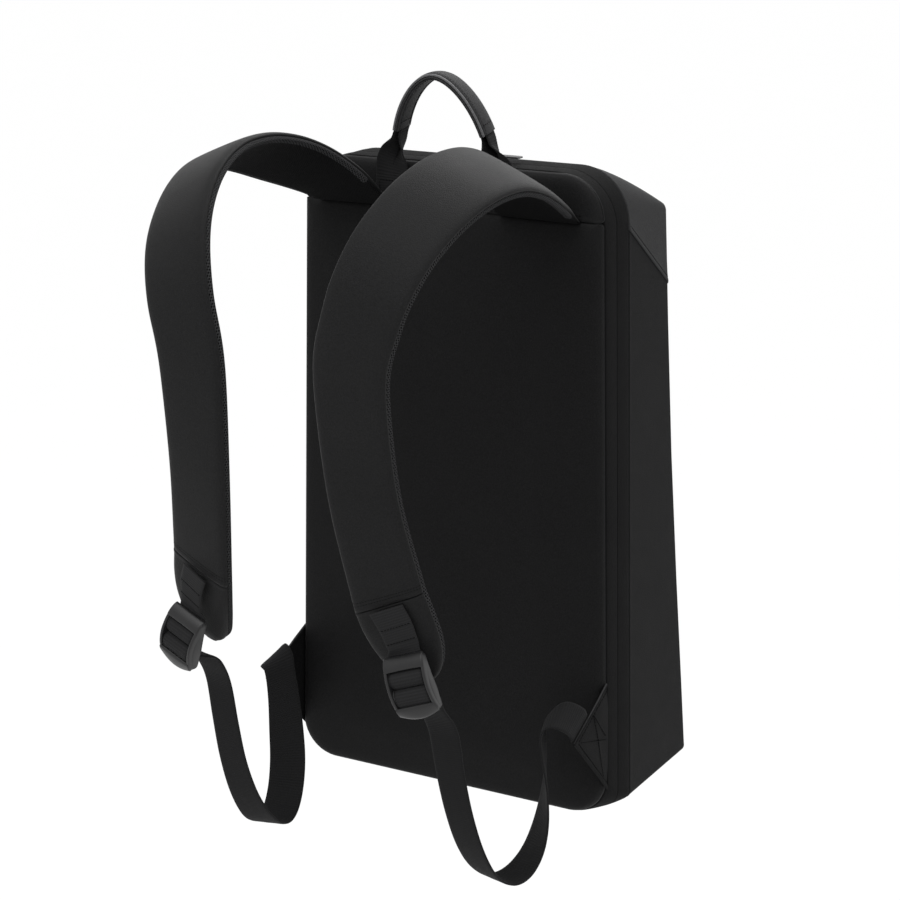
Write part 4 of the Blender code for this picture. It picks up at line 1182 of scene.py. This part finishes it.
full_line = np.concatenate([strap_line, end_line[1:]])
M = sections(full_line, mesh_section)
M_close = np.concatenate([M, M[:, -1:] * 0.5 + M[:, :1] * 0.5], 1)
for mirror, side in ((False, "right"), (True, "left")):
    b = Build("strap", "thread")
    b.grid(closed_pad(P_end), 0, wrap=True, caps=(True, True))
    b.piece("strap_end_cloth_" + side, "strap_end_" + side, "strap_fabric", mirror=mirror, fill=0.65)
    b = Build("mesh", "mesh_edge")
    b.grid(M_close, 0, wrap=True, caps=(True, True))
    columns = M_close.shape[1]
    # the side strips take the lighter mesh copy: painted light
    for j in list(range(0, 17)) + list(range(columns - 19, columns - 2)):
        b.slots[j][14:] = 1
    b.piece("strap_mesh_knit_" + side, "strap_mesh_" + side, "spacer_mesh", mirror=mirror)


# ------------------------------------------------------------------- webbing
def ribbon(b, data, thick, mat=0, rib=1.8, rise=0.11, cols=13, spacing=0.36, steps=()):
    """Woven tape with raised cross ribs and rounded edges."""
    data = evened(data, spacing)
    middle, along, across, out, half = edge_frames(data)
    s = np.arange(len(data)) * spacing
    a = np.linspace(-1, 1, cols)
    a = np.sign(a) * np.abs(a) ** 0.8
    edge = (1 - 0.55 * np.abs(a) ** 10) * thick / 2
    bulge = rise * np.abs(np.sin(math.pi * s / rib))[:, None] * (1 - 0.5 * np.abs(a[None]) ** 6)
    yarn = 0.05 * rise / 0.11 * np.cos(a * half.mean() * 2 * math.pi / 2.1)[None]
    top = edge[None] + bulge + yarn
    low = edge[None] + bulge + yarn
    extra = np.zeros(len(data))
    for at, height in steps:
        extra += height * np.exp(-(((s - at) / 0.45) ** 2))
    face = middle[:, None] + across[:, None] * (half[:, None] * a[None])[..., None]
    front = face + out[:, None] * (top + extra[:, None])[..., None]
    back = face - out[:, None] * low[..., None]
    P = np.concatenate([front, back[:, ::-1]], 1)
    b.grid(P, mat, wrap=True, caps=(True, True))
    return data


def at_lock(across, down, out):
    across, down, out = np.broadcast_arrays(*(np.asarray(v, float) for v in (across, down, out)))
    return LOCK_TOP + across[..., None] * LOCK_ACROSS + down[..., None] * LOCK_DOWN + out[..., None] * LOCK_OUT


WEB_HALF = LOCK_HALF - LOCK_RAIL - 0.35


def lock_rows(path):
    path = np.array(path, float)
    return np.concatenate(
        [at_lock(-WEB_HALF, path[:, 0], path[:, 1]), at_lock(WEB_HALF, path[:, 0], path[:, 1])], 1
    )


def through(points, count):
    """A smooth line through rows of two edges, by the distance between them."""
    middle = (points[:, :3] + points[:, 3:6]) / 2
    at = np.concatenate([[0], np.cumsum(np.linalg.norm(np.diff(middle, axis=0), axis=1))])
    rows = [(t, *r) for t, r in zip(at, points)]
    return hermite(rows, np.linspace(0, at[-1], count))


web_on_end = hermite(LOCK_WEB_ROWS, np.linspace(0.07, 0.75, 9))
lock_web_line = through(np.concatenate([web_on_end, lock_rows(LOCK_WEB_PATH)]), 260)
loop_alongs = [-0.145 + 0.145 * i / 8 for i in range(8)] + [i / 40 for i in range(33)]
loop_alongs += list(np.linspace(0.82, 1.0, 14))
loop_line = through(np.concatenate([lock_rows(LOOP_LOCK_PATH), hermite(LOOP_ROWS, loop_alongs)]), 900)
loop_line = evened(loop_line, 1.0, 2.0)
# the sewn end lies flat against the inside of the tab
loop_line[:, 0], loop_line[:, 3] = np.minimum(loop_line[:, 0], 126.0), np.minimum(loop_line[:, 3], 126.0)

for mirror, side in ((False, "right"), (True, "left")):
    # the lock webbing is built in the lighter webbing copy, painted light
    b = Build("webbing_lit", "thread")
    data = ribbon(b, lock_web_line, WEB_THICK, steps=((13.0, 0.28), (23.5, 0.28)))
    middle, along, across, out, half = edge_frames(data)
    for at_mm in (13.0, 23.5):
        k = int(at_mm / 0.36)
        t = np.linspace(-0.9, 0.9, 24)[:, None]
        line = middle[k] + across[k] * (half[k] * t) + out[k] * (WEB_THICK / 2 + 0.12)
        b.stitches(line, out[k], 1.9, 2.0, 0.26, 1, 0.05)
    b.piece("lock_webbing_woven_" + side, "lock_web_" + side, "webbing", mirror=mirror)
    b = Build("webbing", "thread", "webbing_lit")
    ribbon(b, loop_line, WEB_THICK)
    # the part pulled taut over the lock's bar gets the lighter webbing copy: painted light
    for column in b.slots:
        if len(column) > 60:
            column[:46] = 2
    b.piece("webbing_loop_woven_" + side, "webbing_loop_" + side, "webbing", mirror=mirror)


# --------------------------------------------------------------- ladder lock
def rounded_bar(b, centre_line, wide_dir, out_dir, wide, thick, power=4.0, sides=28, mat=0, caps=(True, True)):
    """A bar with a rounded rectangular section along a line."""
    t = np.arange(sides) * 2 * math.pi / sides
    c, s = np.cos(t), np.sin(t)
    ca = np.sign(c) * np.abs(c) ** (2 / power)
    sa = np.sign(s) * np.abs(s) ** (2 / power)
    n = len(centre_line)
    wide = np.broadcast_to(np.asarray(wide, float), (n,))
    thick = np.broadcast_to(np.asarray(thick, float), (n,))
    P = (
        centre_line[:, None]
        + wide_dir[:, None] * (wide[:, None] / 2 * ca[None])[..., None]
        + out_dir[:, None] * (thick[:, None] / 2 * sa[None])[..., None]
    )
    b.grid(P, mat, wrap=True, caps=caps)


def lock_piece(side, mirror):
    b = Build("lock")
    rows = np.array(LOCK_ROWS, float)
    downs = np.linspace(0, 37.6, 70)
    smooth = hermite([(r[0], r[1], r[2]) for r in rows], downs)
    front, deep = smooth[:, 0], smooth[:, 1]
    # ends of the rails are rounded off
    end = np.clip(np.minimum(downs - 0.0, 37.6 - downs) / 2.6, 0, 1)
    ease = np.sqrt(1 - (1 - end) ** 2)
    for sign in (-1.0, 1.0):
        mid = sign * (LOCK_HALF - LOCK_RAIL / 2) * np.ones_like(downs)
        mid = mid - sign * (1 - ease) * 0.5
        line = at_lock(mid, downs, front - deep / 2)
        n = len(downs)
        rounded_bar(
            b, line, np.repeat(LOCK_ACROSS[None], n, 0), np.repeat(LOCK_OUT[None], n, 0),
            LOCK_RAIL * (0.55 + 0.45 * ease), deep * (0.5 + 0.5 * ease), 5.0,
        )
        # raised side plate outside the rail, a low swell along its middle
        swell = np.exp(-(((downs - 24.0) / 11.0) ** 2))
        line = at_lock(sign * (LOCK_HALF - 0.9 + 0.5 * swell), downs, front - deep * 0.62)
        keep = (downs > 5) & (downs < 36)
        rounded_bar(
            b, line[keep], np.repeat(LOCK_ACROSS[None], keep.sum(), 0),
            np.repeat(LOCK_OUT[None], keep.sum(), 0),
            1.6, deep[keep] * 0.72, 2.6, 20,
        )
    # top bar, curved back over the webbing, and the lip below
    across = np.linspace(-LOCK_HALF + 0.6, LOCK_HALF - 0.6, 44)
    share = across / LOCK_HALF

    def plate(path, thick, bow_down, bow_out):
        path = np.array(path, float)
        path = hermite([(i, *p) for i, p in enumerate(path)], np.linspace(0, len(path) - 1, 18))
        grid_f, grid_b = [], []
        d = np.gradient(path, axis=0)
        normal = unit(np.stack([-d[:, 1], d[:, 0]], 1))
        run = np.linspace(0, 1, len(path))
        round_off = np.sqrt(np.clip(1 - np.abs(2 * run - 1) ** 6, 0.05, 1))
        for (down, out), (nd, no), q in zip(path, normal, round_off):
            bow = bow_down * (1 - share**2) * (down - path[0, 0]) / max(1e-6, abs(path[-1, 0] - path[0, 0]))
            lift = bow_out * (1 - share**2)
            h = thick / 2 * q
            grid_f.append(at_lock(across, down + bow + nd * h, out + lift + no * h))
            grid_b.append(at_lock(across, down + bow - nd * h, out + lift - no * h))
        P = np.concatenate([np.stack(grid_f), np.stack(grid_b)[::-1]], 0)
        b.grid(np.swapaxes(P, 0, 1), 0, wrap=True, caps=(True, True))

    plate(((-0.4, -2.4), (0.2, -0.6), (1.8, 1.3), (4.0, 3.0), (6.6, 4.1), (8.0, 3.8)), 2.1, -0.6, 0.25)
    plate(((31.6, 3.0), (32.6, 3.2), (33.9, 2.5), (35.2, 1.5), (36.4, 0.3), (37.4, -1.0)), 2.2, 3.9, 0.3)
    down, out, radius = LOCK_BAR
    line = at_lock(np.linspace(-LOCK_HALF + 1, LOCK_HALF - 1, 12), down, out)
    b.tube(line, radius, 16, 0)
    obj = b.piece("ladder_lock_cast_" + side, "ladder_lock_" + side, "lock_metal", mirror=mirror)
    return obj


for mirror, side in ((False, "right"), (True, "left")):
    lock_piece(side, mirror)


# --------------------------------------------------------------- corner tabs
def tab_piece(side, mirror):
    top, tip, foot = (np.array(p, float) for p in (TAB_TOP, TAB_TIP, TAB_FOOT))
    s = near_ends(0.0, 1.0, (0.0, 0.01, 0.022, 0.04, 0.062, 0.09, 0.12), 0.045)
    t = near_ends(0.0, 1.0, (0.0, 0.006, 0.014, 0.025, 0.04, 0.055, 0.07, 0.085), 0.04)
    S, T = np.meshgrid(s * 0.985, t, indexing="ij")
    edge_a = top[None, None] + (tip - top) * S[..., None]
    edge_b = foot[None, None] + (tip - foot) * S[..., None]
    yz = edge_a + (edge_b - edge_a) * T[..., None]

    def distance(p, a, c):
        d = unit(c - a)
        rel = p - a
        return np.abs(rel[..., 0] * d[1] - rel[..., 1] * d[0])

    d_up, d_low = distance(yz, top, tip), distance(yz, foot, tip)
    near = np.minimum(d_up, d_low)
    rise = np.interp(near, [0, 0.3, 0.8, 1.6, 2.4, 2.7, 3.1, 6.0, 14.0], [0.3, 0.85, 1.15, 1.2, 1.05, 0.65, 0.8, 0.95, 1.2])
    rise = rise + 0.25 * np.sin(yz[..., 0] * 0.16 + yz[..., 1] * 0.1) * np.clip(near / 6, 0, 1)
    x = half_width(yz[..., 1]) + GAP + 0.9 - 0.55 * np.clip((yz[..., 0] - 2.0) / 14.0, 0, 1)
    front = np.stack([x + rise * 0.9, yz[..., 0], yz[..., 1]], -1)
    back = np.stack([x - rise * 0.55, yz[..., 0], yz[..., 1]], -1)
    b = Build("tab", "thread", "hem")
    P = np.concatenate([front, back[:, ::-1]], 1)
    b.grid(P, 0, wrap=True, caps=(True, True))
    # the folded edge above gets the lighter hem cloth: a painted highlight where it catches the light
    columns = P.shape[1]
    for j in (0, columns - 1, columns - 2, columns - 3):
        b.slots[j][:] = 2

    def line(points, count=60):
        points = np.array(points, float)
        at = np.concatenate([[0], np.cumsum(np.linalg.norm(np.diff(points, axis=0), axis=1))])
        f = np.linspace(0, at[-1], count)
        y, z = np.interp(f, at, points[:, 0]), np.interp(f, at, points[:, 1])
        return np.stack([half_width(z) + GAP + 1.9, y, z], 1)

    inward = unit(np.array([0.0, 1.0]))
    del inward
    for points in (
        ((16.0, -425.2), (-30.0, -448.0)),
        ((16.0, -496.8), (-30.0, -449.5)),
        ((-6.0, -436.5), (13.0, -459.0)),
        ((-6.0, -436.5), (1.0, -458.0), (6.0, -478.0), (9.5, -489.0)),
        ((-27.0, -449.5), (14.0, -462.0)),
    ):
        b.stitches(line(points), np.array([1.0, 0, 0]), 2.6, 1.9, 0.26, 1, 0.06)
    return b.piece("corner_tab_hemmed_" + side, "corner_tab_" + side, "tab_fabric", mirror=mirror)


for mirror, side in ((False, "right"), (True, "left")):
    tab_piece(side, mirror)


# -------------------------------------------------------------------- handle
def grip_at(angle):
    c = np.cos(angle)
    # rounded where the two halves of the arch meet
    x = GRIP_HALF_X * c * ((c**2 + 0.32) / 1.32) ** ((GRIP_POWER - 1) / 2)
    z = GRIP_CENTRE_Z + GRIP_RISE * np.sin(angle)
    return np.stack([x, GRIP_LEAN * (GRIP_CENTRE_Z + GRIP_RISE - z), z], -1)


GRIP_SECTION = (
    # across the half width, out (half thickness = 1); the outer side first
    (-0.86, 0.18), (-0.80, 0.62), (-0.66, 0.95), (-0.45, 1.10), (-0.2, 1.16), (0.0, 1.18),
    (0.2, 1.16), (0.45, 1.10), (0.66, 0.95), (0.80, 0.62), (0.86, 0.18), (0.86, -0.25),
    (0.80, -0.62), (0.66, -0.86), (0.45, -0.95), (0.2, -1.0), (0.0, -1.0), (-0.2, -1.0),
    (-0.45, -0.95), (-0.66, -0.86), (-0.80, -0.62), (-0.86, -0.25),
)


def grip_piece():
    angles = np.linspace(GRIP_END_ANGLE, math.pi - GRIP_END_ANGLE, 1600)
    line = grip_at(angles)
    at = np.concatenate([[0], np.cumsum(np.linalg.norm(np.diff(line, axis=0), axis=1))])
    f = np.linspace(0, at[-1], 150)
    angles = np.interp(f, at, angles)
    line = grip_at(angles)
    along = unit(grip_at(angles + 0.004) - grip_at(angles - 0.004))
    out = unit(np.cross(along, np.array([0.0, 1.0, 0.0])))
    centre = np.array([0, 0, GRIP_CENTRE_Z])
    out = np.where(((line - centre) * out).sum(1, keepdims=True) < 0, -out, out)
    wide = unit(np.cross(out, along))
    wide = np.where(wide[:, 1:2] < 0, -wide, wide)
    rows = np.array(GRIP_SECTION + GRIP_SECTION[:1])
    fine = smooth_section([(r[0] * 0.3, r[1]) for r in rows], 2)[:-1]
    a, o = fine[:, 0] / 0.3 * 1.07, fine[:, 1]
    hw, ht = GRIP_WIDE / 2, GRIP_THICK / 2
    P = line[:, None] + wide[:, None] * (a * hw)[None, :, None] + out[:, None] * (o * ht)[None, :, None]
    pinned = np.broadcast_to((np.abs(a) > 0.74)[None], P.shape[:2]).copy()
    pinned[:3], pinned[-3:] = True, True
    P = puff(P, quads_of(*P.shape[:2], wrap=True), pinned, 1.2, 0.6, 10)
    # the grip is built in the lighter cloth copy, painted light
    b = Build("grip", "thread", "cord")
    b.grid(P, 0, wrap=True, caps=(True, True))
    for sign in (-1.0, 1.0):
        # corded edge in the lighter cord cloth (painted highlight), its seam allowance and two rows of stitches
        b.tube(line + wide * (sign * hw * 0.985) + out * 1.05, 0.85, 12, 2)
        b.tube(line + wide * (sign * hw * 1.0) - out * 0.75, 0.58, 10, 0)
        b.tube(line + wide * (sign * hw * 0.92) - out * 1.95, 0.5, 10, 0)
        b.stitches(line + wide * (sign * hw * 0.66) + out * (0.95 * ht), out, 2.2, 1.6, 0.20, 1, -0.02)
        b.stitches(line + wide * (sign * hw * 0.66) - out * (0.86 * ht), -out, 2.2, 1.6, 0.20, 1, -0.04)
    for k in (9, len(line) - 10):
        # cross stitches above the hemmed ends
        t = np.linspace(-0.8, 0.8, 30)[:, None]
        for way, lift in ((1.0, 1.13), (-1.0, 1.0)):
            row = line[k] + wide[k] * (hw * t) + out[k] * (way * ht * lift)
            b.stitches(row, out[k] * way, 2.4, 1.7, 0.26, 1, 0.05)
    return b.piece("handle_grip_padded", "handle_grip", "grip_fabric", fill=0.8)


grip_piece()
grip_first = grip_at(np.array([GRIP_END_ANGLE - 0.01, GRIP_END_ANGLE + 0.01]))
GRIP_WAY = unit(grip_first[1] - grip_first[0])


def leg_piece(side, mirror):
    table = np.array(LEG_ROWS, float)
    at = np.concatenate([[0], np.cumsum(np.linalg.norm(np.diff(table[:, :3], axis=0), axis=1))])
    rib = 1.8
    count = int(at[-1] / 0.36)
    s = np.linspace(0, at[-1], count)
    rows = hermite([(t, *r) for t, r in zip(at, table)], s)
    fold = rows[:, :3]
    angle = np.radians(np.clip(rows[:, 3], 4.0, 90.0))
    way = unit(np.gradient(fold, axis=0))
    blend = np.clip(s / 7.0, 0, 1)[:, None]
    way = unit(-GRIP_WAY[None] * (1 - blend) + way * blend)
    level = np.array([[0.0, -1.0, 0.0]])
    level = unit(level - way * (way @ level[0])[:, None])
    sidew = unit(np.cross(way, level))
    sidew = np.where(sidew[:, :1] < 0, -sidew, sidew)
    outer = level * np.cos(angle)[:, None] + sidew * np.sin(angle)[:, None]
    inner = level * np.cos(angle)[:, None] - sidew * np.sin(angle)[:, None]
    squeeze = 1.15 * np.cos(angle) + 0.02
    # middle line of the tape from its outer edge over the fold to its inner edge
    shares = np.linspace(1, 0, 12)
    pts = [fold + sidew * squeeze[:, None] + outer * (HANDLE_WEB_HALF * q) for q in shares]
    for t in np.radians((60, 30, 0, -30, -60)):
        bow = np.cos(t) * squeeze * 0.9
        pts.append(fold + sidew * (squeeze * math.sin(t))[:, None] - level * bow[:, None] * 0.8)
    pts += [fold - sidew * squeeze[:, None] + inner * (HANDLE_WEB_HALF * q) for q in shares[::-1]]
    M = np.stack(pts, 1)
    tangent = unit(np.gradient(M, axis=1))
    normal = unit(np.cross(tangent, way[:, None]))
    towards = (normal * (-level[:, None])).sum(-1)
    flip = np.where(towards[:, M.shape[1] // 2] < 0, -1.0, 1.0)[:, None, None]
    normal = normal * flip
    rise = 0.11 * np.abs(np.sin(math.pi * s / rib))[:, None]
    u = np.linspace(-1, 1, M.shape[1])[None]
    h = (1 - 0.5 * np.abs(u) ** 12) * WEB_THICK / 2 + rise
    far, near = M + normal * h[..., None], M - normal * h[..., None]
    P = np.concatenate([far, near[:, ::-1]], 1)
    b = Build("webbing", "thread")
    b.grid(P, 0, wrap=True, caps=(True, True))
    # box of stitches where the leg is sewn to the yoke
    low = np.array([[34.0, -74.0], [53.0, -74.0], [53.0, -84.5], [34.0, -84.5], [34.0, -74.0], [53.0, -84.5]])
    run = np.concatenate([[0], np.cumsum(np.linalg.norm(np.diff(low, axis=0), axis=1))])
    f = np.linspace(0, run[-1], 160)
    x, z = np.interp(f, run, low[:, 0]), np.interp(f, run, low[:, 1])
    y = np.interp(-z, -table[::1, 2], table[:, 1]) - WEB_THICK / 2 - 0.12
    b.stitches(np.stack([x, y, z], 1), np.array([0, -1.0, 0]), 2.4, 1.8, 0.26, 1, 0.05)
    return b.piece("handle_leg_woven_" + side, "handle_web_" + side, "webbing", mirror=mirror)


for mirror, side in ((False, "right"), (True, "left")):
    leg_piece(side, mirror)


# -------------------------------------------------------------- zip hardware
def slider_piece():
    b = Build("slider")
    y = np.linspace(-3.6, 3.6, 16)
    # body: a shallow arched plate over the coil
    xs = np.linspace(-5.0, 5.0, 30)
    half = 3.6 * (0.72 + 0.28 * np.clip((xs + 5.0) / 6.0, 0, 1))
    line = np.stack([SLIDER_X + xs, np.full(30, ZIP_Y), np.full(30, SLIDER_BASE_Z + 0.75)], 1)
    n = 30
    ease = np.sqrt(np.clip(1 - np.abs(xs / 5.0) ** 8, 0.1, 1))
    rounded_bar(b, line, np.repeat(np.array([[0, 1.0, 0]]), n, 0), np.repeat(np.array([[0, 0, 1.0]]), n, 0),
                2 * half * ease, 1.5 * ease, 5.0, 28)
    del y
    for offset in (-2.95, 2.95):
        zs = np.linspace(SLIDER_BASE_Z + 1.0, PULL_AXIS_Z + 1.6, 16)
        ease = np.sqrt(np.clip(1 - np.clip((zs - zs[-1] + 1.6) / 1.6, 0, 1) ** 2, 0.08, 1))
        line = np.stack([np.full(16, PULL_AXIS_X), np.full(16, ZIP_Y + offset), zs], 1)
        rounded_bar(b, line, np.repeat(np.array([[1.0, 0, 0]]), 16, 0), np.repeat(np.array([[0, 1.0, 0]]), 16, 0),
                    4.0 * ease, 1.3 * (0.6 + 0.4 * ease), 4.5, 20)
    line = np.stack([np.full(8, PULL_AXIS_X), np.linspace(ZIP_Y - 3.0, ZIP_Y + 3.0, 8), np.full(8, PULL_AXIS_Z)], 1)
    b.tube(line, 0.75, 16, 0)
    return b.piece("zip_slider_cast", "zip_slider", "slider_metal")


def puller_piece():
    b = Build("slider")
    # eye round the pin
    t = np.arange(40) * 2 * math.pi / 40
    ring = []
    for r, y in ((1.06, -1.9), (1.2, -1.95), (1.65, -1.95), (1.78, -1.8), (1.78, 1.8), (1.65, 1.95), (1.2, 1.95), (1.06, 1.9)):
        ring.append(np.stack([PULL_AXIS_X + r * np.cos(t), np.full(40, ZIP_Y + y), PULL_AXIS_Z + r * np.sin(t)], 1))
    ring.append(ring[0])
    b.grid(np.stack(ring), 0, wrap=True)
    # neck and blade: a long plate with rounded ends and a raised rim
    xs = np.concatenate([np.linspace(1.4, 4.6, 8), np.linspace(5.0, PULL_LENGTH, 44)])
    wide = np.where(xs < 4.4, 3.6, PULL_WIDE)
    head = np.clip((xs - 4.4) / 1.8, 0, 1)
    wide = 3.6 + (PULL_WIDE - 3.6) * np.sqrt(1 - (1 - head) ** 2)
    tail = np.clip((PULL_LENGTH - xs) / 1.9, 0, 1)
    ease = np.sqrt(np.clip(1 - (1 - tail) ** 2, 0.02, 1))
    wide = wide * (0.45 + 0.55 * ease)
    a = np.array([-1, -0.97, -0.86, -0.80, -0.70, -0.5, 0.0, 0.5, 0.70, 0.80, 0.86, 0.97, 1])
    tall = np.array([0.25, 0.52, 0.65, 0.62, 0.42, 0.40, 0.40, 0.40, 0.42, 0.62, 0.65, 0.52, 0.25])
    inner = np.clip(np.minimum(xs - 7.0, PULL_LENGTH - 2.0 - xs) / 1.2, 0, 1)
    flat = np.minimum(tall, 0.64)
    flat = np.where(np.abs(a) < 0.86, 0.62, tall)
    face = flat[None] * (1 - inner[:, None]) + tall[None] * inner[:, None]
    face = face * (0.55 + 0.45 * ease[:, None])
    top = np.stack([np.broadcast_to(PULL_AXIS_X + xs[:, None], face.shape), ZIP_Y + a[None] * wide[:, None] / 2, PULL_AXIS_Z + face], -1)
    low = top.copy()
    low[..., 2] = PULL_AXIS_Z - face
    b.grid(np.concatenate([top, low[:, ::-1]], 1), 0, wrap=True, caps=(True, True))
    return b.piece("zip_puller_cast", "zip_puller", "slider_metal", body="puller")


slider_piece()
puller_piece()

# ------------------------------------------------------- outward-facing faces
for obj in [o for o in scene.objects if o.type == "MESH" and "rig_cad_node" not in o]:
    out_of(obj)

# --------------------------------------------------------------------- floor
floor_mesh = bpy.data.meshes.new("studio_floor")
size, level = 60.0, -2.4
floor_mesh.from_pydata(
    [(-size, -size, level), (size, -size, level), (size, size, level), (-size, size, level)],
    [],
    [(0, 1, 2, 3)],
)
floor_nodes = Nodes("studio_floor")
pale = floor_nodes.noise(3.0, 2.0, 0.5)
floor_nodes.finish(
    floor_nodes.grey(floor_nodes.spread(pale, 0.995, 1.0), 1.0, (1.0, 1.0, 1.0)),
    floor_nodes.spread(pale, 0.85, 0.95),
    floor_nodes.bump(pale, 0.02, 0.001),
    specular=0.0,
)
floor_mesh.materials.append(floor_nodes.mat)
floor = bpy.data.objects.new("studio_floor", floor_mesh)
scene.collection.objects.link(floor)
